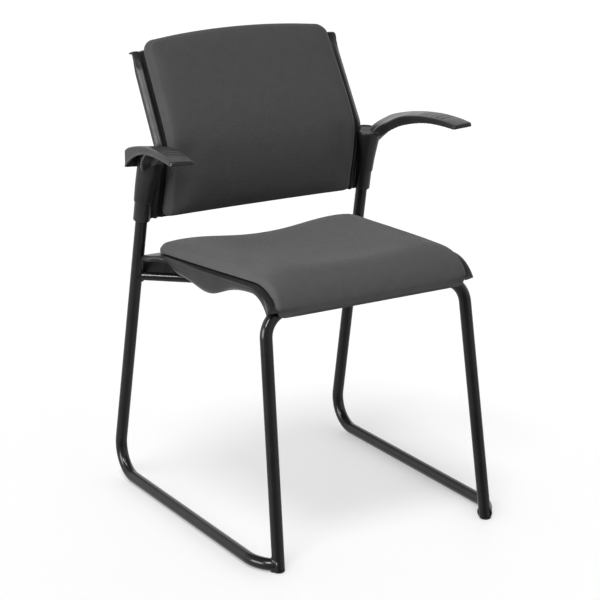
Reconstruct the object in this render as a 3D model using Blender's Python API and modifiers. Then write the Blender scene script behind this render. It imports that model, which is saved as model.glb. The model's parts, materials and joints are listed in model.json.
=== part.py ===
"""Sled-base visitor armchair: a bent steel tube frame, a moulded seat pan and back shell,
upholstered pads on inner boards, and moulded armrests that slip over the back's sockets.

Metres, +Z up. The chair faces -Y, so its left side is +X. The origin is on the floor, under
the middle of the chair.
"""

import math
from collections import namedtuple

import bmesh
import bpy
from mathutils import Matrix, Vector

# Clearances
FIT = 0.0003  # between pieces that touch
SOFT_FIT = 0.0005  # between a pad and the hard piece behind it

# Tube frame
TUBE_OD = 0.022
TUBE_WALL = 0.0015
RUNNER_HALF_SPREAD = 0.2465
REAR_FLOOR_Y = 0.2808  # where the rear leg's line meets the runner's
REAR_LEG_LEAN = math.radians(11.53)  # forwards, going up
REAR_LEG_CLOSE = math.radians(0.98)  # inwards, going up
REAR_BEND_R = 0.055
RUNNER_END_R = 0.070
FRONT_FOOT_Y = -0.2690
FRONT_FOOT_INSET = 0.0277  # front foot inside the runner
FRONT_LEG_CLOSE = 0.0146  # bar's end inside the foot
FRONT_BEND_R = 0.045
FRONT_BAR_SETBACK = 0.0300  # bar's axis behind the seat lip's end
CROSS_TUBE_OD = 0.016
CROSS_TUBE_WALL = 0.0015
CROSS_TUBE_PAST = 0.035  # corner outside the rear brackets
CROSS_BEND_R = 0.035

# Front foot plugs
PLUG_SHOWN = 0.0045
PLUG_INSERT = 0.018
PLUG_FOOT_D = 0.019

# Seat pan
SEAT_HEIGHT = 0.4520  # rear end of the pan's rim
SEAT_LEG_GAP = 0.0200  # rim's rear end in front of the rear leg's axis
SEAT_SIDE_GAP = 0.0229  # rim inside the rear leg's axis
SEAT_RISE = math.radians(3.9)
SEAT_RUN = 0.333  # straight part of the rim
SEAT_LIP_R = 0.078
SEAT_LIP_TURN = math.radians(61)
SEAT_REAR_R = 0.016
SEAT_REAR_TURN = math.radians(70)
PAN_WALL = 0.003
PAN_FLOOR = 0.028  # floor below the rim
PAN_LIP_FLOOR = 0.004
PAN_REAR_LEDGE = 0.004  # behind the floor's rear slope
PAN_REAR_SLOPE = 0.022
PAN_FRONT_SLOPE = 0.045
PAN_FRONT_START = 0.012  # slope's start behind the lip
PAN_SIDE_SLOPE = 0.0387
PAN_RIM_WIDTH = 0.022
PAN_RIM_DROP = 0.001  # rim's flat below the pad's line
PAN_BROW = 0.007  # rounded edge above the skirt
PAN_CURL = 0.0115  # skirt's edge drawn in
PAN_SKIRT_END = 0.0095  # at the rounded rear edge
PAN_SKIRT_TAPER = 0.030
PAN_SKIRT_REAR = 0.025
PAN_SKIRT_FRONT = 0.0125
PAN_BELLY = 0.0185  # extra skirt depth under the thighs
PAN_BELLY_AT = 0.178  # distance from the rim's rear end
PAN_BELLY_SPREAD = 0.068
EAR_DEPTH = 0.016
EAR_DROP = 0.0015  # ear's top below the rim
EAR_ROOT = 0.062  # length along the pan's side
EAR_WIDTH = 0.026
EAR_EDGE = 0.004  # ear's side inside the rim
EAR_NECK = 0.030  # start of the reach to the leg
EAR_ROUND = 0.003

# Seat pad and board
SEAT_BOARD = 0.009
SEAT_BOARD_GAP = 0.006  # from the pan's slopes
SEAT_PAD_INSET = 0.006  # pad's side inside the rim
SEAT_PAD_LIP_INSET = 0.020
SEAT_PAD_CREST = 0.0235  # pad's edge above the rim
SEAT_PAD_LIP = 0.0145
SEAT_PAD_DISH = 0.0125
SEAT_PAD_REAR_LIFT = 0.006
SEAT_PAD_LIFT_RUN = 0.14
SEAT_PAD_REAR_REACH = 0.008  # past the rim's rear end
SEAT_PAD_REAR_R = 0.036
PAD_BELT_AT = 0.4  # share of the pad's depth
PAD_BELT_OUT = 0.0025
PAD_EDGE_IN = 0.004
PAD_RECESS_LIFT = 0.003  # at the board's sides
PAD_SHARES = (0.26, 0.52, 0.78, 0.93, 1)  # columns, as shares of half the width

# Back shell
BACK_RISE = 0.0702  # lower edge above the seat rim's rear end
BACK_FORWARD = 0.0005  # face in front of the rear leg's axis
BACK_LOWER_LEAN = math.radians(13.8)  # forwards, going up
BACK_UPPER_LEAN = math.radians(30.5)  # backwards, going up
BACK_LOWER = 0.1343
BACK_UPPER = 0.1850
BACK_KINK_R = 0.040
BACK_LIP_R = 0.008
BACK_LIP = 0.006
BACK_LIP_TURN = math.radians(75)
SHELL_WALL = 0.003
SHELL_LEG_GAP = 0.0175  # edge inside the rear leg's axis
SHELL_ROLL = 0.012  # depth of the rolled side edge
SHELL_ROLL_WIDTH = 0.015
SHELL_LIP_ROLL = 0.002
SHELL_ROLL_FADE = 0.036  # below the upper end

# Back pad and board
BACK_BOARD = 0.006
BACK_BOARD_INSET = 0.060
BACK_PAD_INSET = 0.0195
BACK_PAD_DEPTH = 0.028
BACK_PAD_BELT = 0.005  # widest part in front of the shell
BACK_PAD_ROUND = 0.010  # front edges drawn in
BACK_PAD_HOLLOW = 0.004
BACK_PAD_EASE = 0.004  # softens the bend
BACK_PAD_EASE_SPREAD = 0.045
BACK_PAD_CROWN = 0.012  # rise of the top edge
BACK_PAD_ABOVE = 0.021  # corners above the shell's face
BACK_PAD_CORNER_R = 0.018

# Sockets that hold the back on the uprights
SOCKET_WALL = 0.0042
SOCKET_GRIP = 0.098  # tube inside the socket
SOCKET_CAP = 0.004
WEB_THICKNESS = 0.0095

# Armrests
SLEEVE_WALL = 0.0022
SLEEVE_FLARE = 0.005  # gain in diameter at the top
COLLAR_SHOWN = 0.035  # socket below the sleeve
SLEEVE_ABOVE = 0.016  # sleeve's top above the upright's end
ARM_WIDTH = 0.044
ARM_REACH = 0.228
ARM_REAR = 0.0015
ARM_SPLAY = math.radians(7.4)
ARM_OUT = 0.0225  # rear end of the arm's axis outside the sleeve's
ARM_CREST = 0.0515
ARM_CREST_AT = 0.160
ARM_TOP_R = 0.450
ARM_DROP = 0.017  # inner edge below the outer one at the rear end
ARM_LEVEL_AT = 0.130  # where the two edges are level
ARM_TIP = 0.0058
ARM_DEEPEN = 0.052  # gain in depth per metre, going back
ARM_HEEL = 0.011  # more depth at the rear end
ARM_HEEL_RUN = 0.050
ARM_WALL = 0.003
ARM_TIP_SOLID = 0.016
ARM_ROUND = 0.0025
GUSSET_WIDTH = 0.022
GUSSET_FOOT = 0.055  # down the sleeve
GUSSET_FLARE = 0.020  # reach of its curve in front of the sleeve
GUSSET_RUN = 0.080  # along the arm
GUSSET_TIP = 0.008

# Fasteners
BOLT_D = 0.006
BOLT_HEAD_D = 0.011
BOLT_HEAD = 0.003
ARM_SCREW_D = 0.004
ARM_SCREW_HEAD_D = 0.008
ARM_SCREW_HEAD = 0.0025
ARM_SCREW_RISE = 0.068  # above the socket's lower end
TEE_FLANGE_D = 0.018
TEE_FLANGE = 0.0012
TEE_WALL = 0.0014
BOLT_INSET = 0.0554  # bolts inside the side of the pan's floor
SEAT_BOLT_REAR = 0.072  # from the rim's rear end
SEAT_BOLT_FRONT = 0.290
BACK_BOLT_LOW = 0.055  # from the shell's lower edge
BACK_BOLT_HIGH = 0.070  # from the shell's upper end

# Seat brackets
BRACKET = 0.003
BRACKET_WIDTH = 0.030
BRACKET_TAIL = 0.014  # past the bolt's axis
BRACKET_RISE = 0.006  # rear bracket's web above its tube

TUBE_RING = 5  # bevel resolution: 14 sides
BEND_STEPS = 7
TURN_STEPS = 12
SIDES = {"left": 1, "right": -1}

BLACK_COAT = (0.012, 0.012, 0.013)
BLACK_PLASTIC = (0.022, 0.022, 0.022)
GREY_FABRIC = (0.072, 0.072, 0.074)
PLYWOOD = (0.42, 0.29, 0.17)
ZINC = (0.55, 0.56, 0.58)

Frame = namedtuple("Frame", "y z heading s")

TUBE_R = TUBE_OD / 2
WELD = FIT / 30
SOCKET_OD = TUBE_OD + 2 * (FIT + SOCKET_WALL)
SLEEVE_OD = SOCKET_OD + 2 * (FIT + SLEEVE_WALL)
SLEEVE_TOP_OD = SLEEVE_OD + SLEEVE_FLARE


# Scene, objects and materials


def clear_scene():
    """Removes every object from the file."""
    for obj in list(bpy.data.objects):
        bpy.data.objects.remove(obj)


def collection(name):
    """A new collection under the scene's own."""
    made = bpy.data.collections.new(name)
    bpy.context.scene.collection.children.link(made)
    return made


clear_scene()
PARTS = collection("visitor_armchair")
CUTTERS = collection("visitor_armchair_cutters")
ROOT = bpy.data.objects.new("visitor_armchair_origin", None)
PARTS.objects.link(ROOT)


def finish(obj, colour, roughness, metallic=0.0):
    """Gives a part its own material, smooth shading and its parent."""
    material = bpy.data.materials.new(obj.name + "_finish")
    material.use_nodes = True
    shader = material.node_tree.nodes["Principled BSDF"]
    shader.inputs["Base Color"].default_value = (*colour, 1)
    shader.inputs["Roughness"].default_value = roughness
    shader.inputs["Metallic"].default_value = metallic
    obj.data.materials.append(material)
    obj.data.shade_smooth()
    obj.data.set_sharp_from_angle(angle=math.radians(35))
    obj.parent = ROOT


def part(name, mesh):
    """A sub-part of the chair."""
    obj = bpy.data.objects.new(name, mesh)
    PARTS.objects.link(obj)
    return obj


def tool(name, mesh):
    """A shape that only cuts or is joined to a part."""
    obj = bpy.data.objects.new(name, mesh)
    CUTTERS.objects.link(obj)
    obj.hide_render = True
    obj.display_type = "WIRE"
    return obj


def boolean(obj, other, operation):
    """Adds a Boolean modifier."""
    modifier = obj.modifiers.new(other.name, "BOOLEAN")
    modifier.operation = operation
    modifier.object = other
    modifier.solver = "EXACT"


def cut(obj, *tools):
    """Takes tools away from a part."""
    for other in tools:
        boolean(obj, other, "DIFFERENCE")


def join(obj, *tools):
    """Makes tools one body with a part."""
    for other in tools:
        boolean(obj, other, "UNION")


# Mesh makers


def bmesh_to_mesh(name, bm):
    """A mesh from a bmesh, which is freed."""
    mesh = bpy.data.meshes.new(name)
    bm.to_mesh(mesh)
    bm.free()
    return mesh


def curve_mesh(name, curve):
    """The mesh that a curve evaluates to, with its caps welded on."""
    holder = bpy.data.objects.new(name + "_curve", curve)
    bpy.context.scene.collection.objects.link(holder)
    graph = bpy.context.evaluated_depsgraph_get()
    mesh = bpy.data.meshes.new_from_object(holder.evaluated_get(graph))
    bpy.data.objects.remove(holder)
    bm = bmesh.new()
    bm.from_mesh(mesh)
    bmesh.ops.remove_doubles(bm, verts=bm.verts, dist=WELD)
    bm.to_mesh(mesh)
    bm.free()
    return mesh


def sweep(name, points, radius):
    """An open round skin along a path."""
    curve = bpy.data.curves.new(name, "CURVE")
    curve.dimensions = "3D"
    curve.bevel_depth = radius
    curve.bevel_resolution = TUBE_RING
    curve.use_fill_caps = False
    spline = curve.splines.new("POLY")
    spline.points.add(len(points) - 1)
    for target, point in zip(spline.points, points):
        target.co = (*point, 1)
    return curve_mesh(name, curve)


def tube(name, points, diameter, wall):
    """A hollow tube with open ends along a path."""
    obj = part(name, sweep(name, points, diameter / 2))
    modifier = obj.modifiers.new("wall", "SOLIDIFY")
    modifier.thickness = wall
    modifier.offset = -1
    modifier.use_even_offset = True
    return obj


def outline_mesh(name, points, half_thickness):
    """A flat outline in XY, given a thickness along Z."""
    curve = bpy.data.curves.new(name, "CURVE")
    curve.dimensions = "2D"
    curve.fill_mode = "BOTH"
    curve.extrude = half_thickness
    spline = curve.splines.new("POLY")
    spline.points.add(len(points) - 1)
    spline.use_cyclic_u = True
    for target, point in zip(spline.points, points):
        target.co = (*point, 0, 1)
    return curve_mesh(name, curve)


def soften(mesh, matrix, width, segments=2):
    """Rounds a mesh's sharp edges, then puts it in place."""
    bm = bmesh.new()
    bm.from_mesh(mesh)
    bmesh.ops.dissolve_limit(bm, angle_limit=math.radians(1), verts=bm.verts, edges=bm.edges)
    sharp = [edge for edge in bm.edges if edge.calc_face_angle(0) > math.radians(60)]
    bmesh.ops.bevel(
        bm, geom=sharp, offset=width, segments=segments, profile=0.5, affect="EDGES", clamp_overlap=True
    )
    bmesh.ops.transform(bm, matrix=matrix, verts=bm.verts)
    bm.to_mesh(mesh)
    bm.free()
    return mesh


def axes(origin, x_axis, y_axis, z_axis):
    """A matrix that takes local axes to these directions at an origin."""
    return Matrix.Translation(origin) @ Matrix((x_axis, y_axis, z_axis)).transposed().to_4x4()


def rod(name, start, end, radius, end_radius=None, sides=20):
    """A cylinder or cone whose flats lie on its radius, so that it clears what is that round."""
    start, end = Vector(start), Vector(end)
    grow = 1 / math.cos(math.pi / sides)
    bm = bmesh.new()
    bmesh.ops.create_cone(
        bm,
        cap_ends=True,
        segments=sides,
        radius1=radius * grow,
        radius2=(end_radius or radius) * grow,
        depth=(end - start).length,
    )
    turn = (end - start).to_track_quat("Z", "Y").to_matrix().to_4x4()
    bmesh.ops.transform(bm, matrix=Matrix.Translation((start + end) / 2) @ turn, verts=bm.verts)
    return bmesh_to_mesh(name, bm)


def block(name, matrix, size):
    """A box centred on a matrix's origin, along its axes."""
    bm = bmesh.new()
    bmesh.ops.create_cube(bm, size=1, matrix=matrix @ Matrix.Diagonal((*size, 1)))
    return bmesh_to_mesh(name, bm)


def turned(name, profile, origin, axis, closed=False):
    """A part turned about its own Z from a profile of (radius, height), placed on an axis."""
    mesh = bpy.data.meshes.new(name)
    count = len(profile)
    edges = [(i, i + 1) for i in range(count - 1)]
    if closed:
        edges.append((count - 1, 0))
    mesh.from_pydata([(radius, 0, height) for radius, height in profile], edges, [])
    obj = part(name, mesh)
    modifier = obj.modifiers.new("turn", "SCREW")
    modifier.steps = TURN_STEPS
    modifier.render_steps = TURN_STEPS
    modifier.use_merge_vertices = True
    modifier.merge_threshold = WELD
    obj.location = origin
    obj.rotation_mode = "QUATERNION"
    obj.rotation_quaternion = Vector(axis).to_track_quat("Z", "Y")
    return obj


# Paths


def bent(corners, radii):
    """Points along straight runs, with an arc of the given radius at each inner corner."""
    corners = [Vector(corner) for corner in corners]
    points = [corners[0]]
    for before, corner, after, radius in zip(corners, corners[1:], corners[2:], radii):
        into = (before - corner).normalized()
        out = (after - corner).normalized()
        turn = math.pi - into.angle(out)
        setback = radius * math.tan(turn / 2)
        centre = corner + (into + out).normalized() * (radius / math.cos(turn / 2))
        arm = corner + into * setback - centre
        spin = into.cross(out).normalized()
        for step in range(BEND_STEPS + 1):
            points.append(centre + Matrix.Rotation(-turn * step / BEND_STEPS, 3, spin) @ arm)
    points.append(corners[-1])
    return points


def along(start, heading, pieces):
    """Frames along a path in the YZ plane, made of ("line", stops) and ("arc", radius, turn, steps).

    A frame's normal lies on the right of its heading, and a turn to the left is positive.
    """
    y, z = start
    s = 0.0
    frames = [Frame(y, z, heading, s)]
    for piece in pieces:
        if piece[0] == "line":
            base = frames[-1]
            for stop in piece[1]:
                frames.append(
                    Frame(
                        base.y + stop * math.cos(heading),
                        base.z + stop * math.sin(heading),
                        heading,
                        base.s + stop,
                    )
                )
        else:
            _, radius, turn, steps = piece
            base = frames[-1]
            bend = math.copysign(radius, turn)
            for step in range(1, steps + 1):
                angle = heading + turn * step / steps
                frames.append(
                    Frame(
                        base.y + bend * (math.sin(angle) - math.sin(heading)),
                        base.z - bend * (math.cos(angle) - math.cos(heading)),
                        angle,
                        base.s + radius * abs(turn) * step / steps,
                    )
                )
            heading += turn
    return frames


def normal(frame):
    """Unit normal on the right of a frame's heading."""
    return Vector((0, math.sin(frame.heading), -math.cos(frame.heading)))


def tangent(frame):
    """Unit vector along a frame's heading."""
    return Vector((0, math.cos(frame.heading), math.sin(frame.heading)))


def at(frame, x=0.0, height=0.0, ahead=0.0):
    """A point beside, above and ahead of a frame."""
    base = Vector((x, frame.y, frame.z))
    return base + normal(frame) * height + tangent(frame) * ahead


def ease(value):
    """Smooth step from 0 to 1."""
    value = min(1, max(0, value))
    return value * value * (3 - 2 * value)


# The chair's layout, from the sizes above


def rear_leg(side, z):
    """A point on a rear leg's axis."""
    rise = z - TUBE_R
    return Vector(
        (
            side * (RUNNER_HALF_SPREAD - rise * math.tan(REAR_LEG_CLOSE)),
            REAR_FLOOR_Y - rise * math.tan(REAR_LEG_LEAN),
            z,
        )
    )


SEAT_REAR_Y = rear_leg(1, SEAT_HEIGHT).y - SEAT_LEG_GAP
PAN_HALF = rear_leg(1, SEAT_HEIGHT).x - SEAT_SIDE_GAP
SEAT_HEADING = math.pi - SEAT_RISE
PAN_FLOOR_HALF = PAN_HALF - PAN_RIM_WIDTH - PAN_SIDE_SLOPE
BOLT_X = PAN_FLOOR_HALF - BOLT_INSET
BOARD_START = PAN_REAR_LEDGE + PAN_REAR_SLOPE + SEAT_BOARD_GAP
BOARD_END = SEAT_RUN - PAN_FRONT_START - SEAT_BOARD_GAP
BACK_LOW_Z = SEAT_HEIGHT + BACK_RISE
UPRIGHT_TOP_Z = BACK_LOW_Z + SOCKET_GRIP


def seat_line(stops, lip_steps):
    """Frames along the seat's rim, from its rear end to the lip's end."""
    start = (SEAT_REAR_Y, SEAT_HEIGHT)
    return along(start, SEAT_HEADING, [("line", stops), ("arc", SEAT_LIP_R, SEAT_LIP_TURN, lip_steps)])


SEAT_START = seat_line([SEAT_RUN], 1)[0]
LIP_END = seat_line([SEAT_RUN], 1)[-1]


def seat_at(distance, x=0.0, height=0.0):
    """A point on the straight part of the seat."""
    return at(SEAT_START, x, height, distance)


def back_line(lower_stops, kink_steps, upper_stops):
    """Frames along the back's face, from its lower edge to its upper end. Normals point back."""
    heading = math.pi / 2 + BACK_LOWER_LEAN
    start = (rear_leg(1, BACK_LOW_Z).y - BACK_FORWARD, BACK_LOW_Z)
    turn = -(BACK_LOWER_LEAN + BACK_UPPER_LEAN)
    return along(
        start,
        heading,
        [("line", lower_stops), ("arc", BACK_KINK_R, turn, kink_steps), ("line", upper_stops)],
    )


KINK_SETBACK = BACK_KINK_R * math.tan((BACK_LOWER_LEAN + BACK_UPPER_LEAN) / 2)
BACK_LOWER_RUN = BACK_LOWER - KINK_SETBACK
BACK_UPPER_RUN = BACK_UPPER - KINK_SETBACK
BRACKET_UNDER = -PAN_FLOOR - PAN_WALL - FIT - BRACKET
FRONT_BAR_Y = LIP_END.y + FRONT_BAR_SETBACK
FRONT_BAR_AHEAD = (SEAT_REAR_Y - FRONT_BAR_Y) / math.cos(SEAT_RISE)
FRONT_BAR_Z = seat_at(FRONT_BAR_AHEAD, 0, BRACKET_UNDER).z - TUBE_R / 4
FRONT_FOOT_X = RUNNER_HALF_SPREAD - FRONT_FOOT_INSET
FRONT_BAR_HALF = FRONT_FOOT_X - FRONT_LEG_CLOSE
CROSS_TUBE_R = CROSS_TUBE_OD / 2
CROSS_TUBE_CORNER_X = BOLT_X + BRACKET_WIDTH / 2 + CROSS_TUBE_PAST
CROSS_TUBE_Y = SEAT_REAR_Y - SEAT_BOLT_REAR + CROSS_TUBE_R + BOLT_HEAD_D
CROSS_TUBE_Z = seat_at(SEAT_BOLT_REAR, 0, BRACKET_UNDER).z - BRACKET_RISE - CROSS_TUBE_R


def front_leg(side, z):
    """A point on a front leg's axis."""
    share = z / FRONT_BAR_Z
    return Vector(
        (
            side * (FRONT_FOOT_X - FRONT_LEG_CLOSE * share),
            FRONT_FOOT_Y + (FRONT_BAR_Y - FRONT_FOOT_Y) * share,
            z,
        )
    )


# Cutters shared by several parts


def leg_tool(name, point_of, side, low, high):
    """A cylinder round a leg, with clearance."""
    return tool(name, rod(name, point_of(side, low), point_of(side, high), TUBE_R + FIT))


REAR_LEG_TOOLS = {
    side: leg_tool(f"rear_leg_{side}_clearance", rear_leg, sign, SEAT_HEIGHT / 2, BACK_LOW_Z)
    for side, sign in SIDES.items()
}
FRONT_LEG_TOOLS = {
    side: leg_tool(f"front_leg_{side}_clearance", front_leg, sign, -TUBE_R, 3 * TUBE_OD)
    for side, sign in SIDES.items()
}
FRONT_BAR_TOOL = tool(
    "front_bar_clearance",
    rod(
        "front_bar_clearance",
        (-FRONT_BAR_HALF, FRONT_BAR_Y, FRONT_BAR_Z),
        (FRONT_BAR_HALF, FRONT_BAR_Y, FRONT_BAR_Z),
        TUBE_R + FIT,
    ),
)
CROSS_TUBE_TOOL = tool(
    "cross_tube_clearance",
    rod(
        "cross_tube_clearance",
        (-CROSS_TUBE_CORNER_X, CROSS_TUBE_Y, CROSS_TUBE_Z),
        (CROSS_TUBE_CORNER_X, CROSS_TUBE_Y, CROSS_TUBE_Z),
        CROSS_TUBE_R + FIT,
    ),
)
LEG_AXIS = {sign: (rear_leg(sign, 1) - rear_leg(sign, 0)).normalized() for sign in SIDES.values()}
LEG_BACK = {sign: Vector((1, 0, 0)).cross(LEG_AXIS[sign]).normalized() * -1 for sign in SIDES.values()}
ARM_SCREW_TOOLS = {}
for side_name, side_sign in SIDES.items():
    screw_seat = rear_leg(side_sign, BACK_LOW_Z + ARM_SCREW_RISE)
    ARM_SCREW_TOOLS[side_name] = tool(
        f"arm_screw_{side_name}_hole",
        rod(
            f"arm_screw_{side_name}_hole",
            screw_seat,
            screw_seat + LEG_BACK[side_sign] * SLEEVE_TOP_OD,
            ARM_SCREW_D / 2 + FIT,
            sides=12,
        ),
    )


# Frame


def build_side_frame(side, sign):
    """Upright, rear leg and floor runner, bent from one tube and welded to the front leg."""
    front = front_leg(sign, TUBE_R)
    inset = RUNNER_HALF_SPREAD - abs(front.x)
    turn = math.acos(1 - 0.95 * inset / RUNNER_END_R)
    path = bent(
        [
            rear_leg(sign, UPRIGHT_TOP_Z),
            (sign * RUNNER_HALF_SPREAD, REAR_FLOOR_Y, TUBE_R),
            (sign * RUNNER_HALF_SPREAD, front.y + inset / math.tan(turn), TUBE_R),
            front,
        ],
        [REAR_BEND_R, RUNNER_END_R],
    )
    obj = tube(f"side_frame_{side}", path, TUBE_OD, TUBE_WALL)
    cut(obj, FRONT_LEG_TOOLS[side], ARM_SCREW_TOOLS[side])
    finish(obj, BLACK_COAT, 0.25, 0.0)


def build_front_frame():
    """Front legs and the bar under the seat's lip, bent from one tube."""
    corners = [
        front_leg(1, PLUG_SHOWN),
        front_leg(1, FRONT_BAR_Z),
        front_leg(-1, FRONT_BAR_Z),
        front_leg(-1, PLUG_SHOWN),
    ]
    obj = tube("front_frame", bent(corners, [FRONT_BEND_R, FRONT_BEND_R]), TUBE_OD, TUBE_WALL)
    finish(obj, BLACK_COAT, 0.25, 0.0)


def build_cross_tube():
    """Tube between the rear legs, bent forwards under the seat."""
    ends = {sign: rear_leg(sign, CROSS_TUBE_Z) for sign in SIDES.values()}
    corners = [
        ends[1],
        (CROSS_TUBE_CORNER_X, CROSS_TUBE_Y, CROSS_TUBE_Z),
        (-CROSS_TUBE_CORNER_X, CROSS_TUBE_Y, CROSS_TUBE_Z),
        ends[-1],
    ]
    obj = tube("rear_cross_tube", bent(corners, [CROSS_BEND_R] * 2), CROSS_TUBE_OD, CROSS_TUBE_WALL)
    cut(obj, REAR_LEG_TOOLS["left"], REAR_LEG_TOOLS["right"])
    finish(obj, BLACK_COAT, 0.25, 0.0)


def build_foot_plug(side, sign):
    """Plastic plug in the front leg's end, flat on the floor."""
    insert_r = TUBE_R - TUBE_WALL - FIT
    axis = (front_leg(sign, 1) - front_leg(sign, 0)).normalized()
    profile = [
        (0, PLUG_INSERT),
        (insert_r, PLUG_INSERT),
        (insert_r, -FIT),
        (TUBE_R, -FIT),
        (TUBE_R, -PLUG_SHOWN / 3),
        (PLUG_FOOT_D / 2, -2 * PLUG_SHOWN),
        (0, -2 * PLUG_SHOWN),
    ]
    obj = turned(f"foot_plug_{side}", profile, front_leg(sign, PLUG_SHOWN), axis)
    floor = Matrix.Translation(front_leg(sign, 0) - Vector((0, 0, TUBE_OD)))
    cut(obj, tool(f"floor_{side}", block(f"floor_{side}", floor, [2 * TUBE_OD] * 3)))
    finish(obj, BLACK_PLASTIC, 0.5)


# Bolts, nuts and brackets


def bolt_profile(shank, diameter, head_diameter, head):
    """Half outline of a round-headed bolt, with its head under z = 0."""
    return [
        (0, shank),
        (diameter / 2, shank),
        (diameter / 2, 0),
        (head_diameter / 2, 0),
        (head_diameter / 2, -head * 0.45),
        (head_diameter * 0.3, -head),
        (0, -head),
    ]


def tee_profile(board):
    """Half outline of a tee nut whose flange is flush with the board's face at z = 0."""
    bore = BOLT_D / 2 + FIT
    barrel = bore + TEE_WALL
    foot = -board + TEE_FLANGE
    return [
        (bore, -FIT),
        (TEE_FLANGE_D / 2, -FIT),
        (TEE_FLANGE_D / 2, -TEE_FLANGE - FIT),
        (barrel, -TEE_FLANGE - FIT),
        (barrel, foot),
        (bore, foot),
    ]


def board_tools(name, face, axis, board):
    """Hole and counterbore for a tee nut, sunk from a board's face."""
    barrel = BOLT_D / 2 + 2 * FIT + TEE_WALL
    above = face + axis * TEE_FLANGE
    hole = rod(name + "_hole", face - axis * (board + 2 * TEE_FLANGE), above, barrel, sides=12)
    seat = face - axis * (TEE_FLANGE + 2 * FIT)
    sink = rod(name + "_sink", seat, above, TEE_FLANGE_D / 2 + FIT, sides=16)
    return [tool(name + "_hole", hole), tool(name + "_sink", sink)]


def bolt_tool(name, middle, axis):
    """A bolt's hole through thin walls on both sides of a point."""
    reach = axis * BOLT_HEAD_D * 1.5
    return tool(name, rod(name, middle - reach, middle + reach, BOLT_D / 2 + FIT, sides=12))


SEAT_BOLTS = {
    f"{end}_{side}": (distance, sign * BOLT_X)
    for end, distance in (("front", SEAT_BOLT_FRONT), ("rear", SEAT_BOLT_REAR))
    for side, sign in SIDES.items()
}
SEAT_UP = normal(SEAT_START)
SEAT_AHEAD = tangent(SEAT_START)
SEAT_BOLT_TOOLS = {
    key: bolt_tool(f"seat_bolt_{key}_hole", seat_at(distance, x, -PAN_FLOOR - PAN_WALL), SEAT_UP)
    for key, (distance, x) in SEAT_BOLTS.items()
}
SEAT_BOARD_TOP = -PAN_FLOOR + FIT + SEAT_BOARD


def seat_axes(origin):
    """Matrix with X across, Y towards the front and Z up from the seat's rim."""
    return axes(origin, -Vector((1, 0, 0)), SEAT_AHEAD, SEAT_UP)


def build_seat_bracket(key, distance, x):
    """Steel plate under the pan, welded to the front bar or the cross tube."""
    front = key.startswith("front")
    weld_y = FRONT_BAR_Y if front else CROSS_TUBE_Y
    weld = (SEAT_REAR_Y - weld_y) / math.cos(SEAT_RISE)
    low, high = sorted((weld, distance + (-BRACKET_TAIL if front else BRACKET_TAIL)))
    middle = seat_at((low + high) / 2, x, BRACKET_UNDER + BRACKET / 2)
    name = f"seat_bracket_{key}"
    obj = part(name, block(name, seat_axes(middle), (BRACKET_WIDTH, high - low, BRACKET)))
    if front:
        cut(obj, FRONT_BAR_TOOL)
    else:
        foot = BRACKET_RISE + CROSS_TUBE_R
        stand = seat_axes(seat_at(weld, x, BRACKET_UNDER + BRACKET / 2 - foot / 2))
        size = (BRACKET_WIDTH, CROSS_TUBE_R, foot)
        join(obj, tool(name + "_stand", block(name + "_stand", stand, size)))
        cut(obj, CROSS_TUBE_TOOL)
    cut(obj, SEAT_BOLT_TOOLS[key])
    finish(obj, BLACK_COAT, 0.3, 0.0)


def build_seat_fasteners(key, distance, x):
    """Bolt from below through bracket and pan, and its tee nut in the board."""
    under = seat_at(distance, x, BRACKET_UNDER - FIT)
    shank = BRACKET + PAN_WALL + SEAT_BOARD
    bolt = turned(f"seat_bolt_{key}", bolt_profile(shank, BOLT_D, BOLT_HEAD_D, BOLT_HEAD), under, SEAT_UP)
    finish(bolt, ZINC, 0.35, 1.0)
    face = seat_at(distance, x, SEAT_BOARD_TOP)
    nut = turned(f"seat_tee_nut_{key}", tee_profile(SEAT_BOARD), face, SEAT_UP, closed=True)
    finish(nut, ZINC, 0.4, 1.0)


# Seat


def skirt_depth(s):
    """Depth of the pan's side skirt below the rim."""
    base = PAN_SKIRT_REAR + (PAN_SKIRT_FRONT - PAN_SKIRT_REAR) * ease(s / SEAT_RUN)
    full = base + PAN_BELLY * math.exp(-(((s - PAN_BELLY_AT) / PAN_BELLY_SPREAD) ** 2))
    return PAN_SKIRT_END + (full - PAN_SKIRT_END) * ease(s / PAN_SKIRT_TAPER)


def floor_depth(s):
    """Depth of the pan's floor below the rim."""
    rear = ease((s - PAN_REAR_LEDGE) / PAN_REAR_SLOPE)
    front = 1 - ease((s - SEAT_RUN + PAN_FRONT_START) / PAN_FRONT_SLOPE)
    return PAN_LIP_FLOOR + (PAN_FLOOR - PAN_LIP_FLOOR) * rear * front


def pan_section(s):
    """Half section of the pan from its middle to the skirt's edge, as (x, height)."""
    floor, skirt = floor_depth(s), skirt_depth(s)
    rim = PAN_HALF - PAN_RIM_WIDTH
    brow = min(PAN_BROW, skirt * 0.55)
    hang = skirt - brow
    curl = PAN_CURL * ease((skirt - PAN_SKIRT_END) / PAN_BROW)
    return [
        (0, -floor),
        (PAN_FLOOR_HALF / 2, -floor),
        (PAN_FLOOR_HALF, -floor),
        (rim - PAN_SIDE_SLOPE * 0.57, -0.62 * floor),
        (rim - PAN_SIDE_SLOPE * 0.23, -0.15 * floor - PAN_RIM_DROP),
        (rim, -PAN_RIM_DROP),
        (PAN_HALF - 0.4 * PAN_RIM_WIDTH, -PAN_RIM_DROP),
        (PAN_HALF - 0.1 * PAN_RIM_WIDTH, -PAN_RIM_DROP - 0.3 * (brow - PAN_RIM_DROP)),
        (PAN_HALF, -brow),
        (PAN_HALF - 0.08 * curl, -brow - 0.33 * hang),
        (PAN_HALF - 0.42 * curl, -brow - 0.75 * hang),
        (PAN_HALF - curl, -skirt),
    ]


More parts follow.
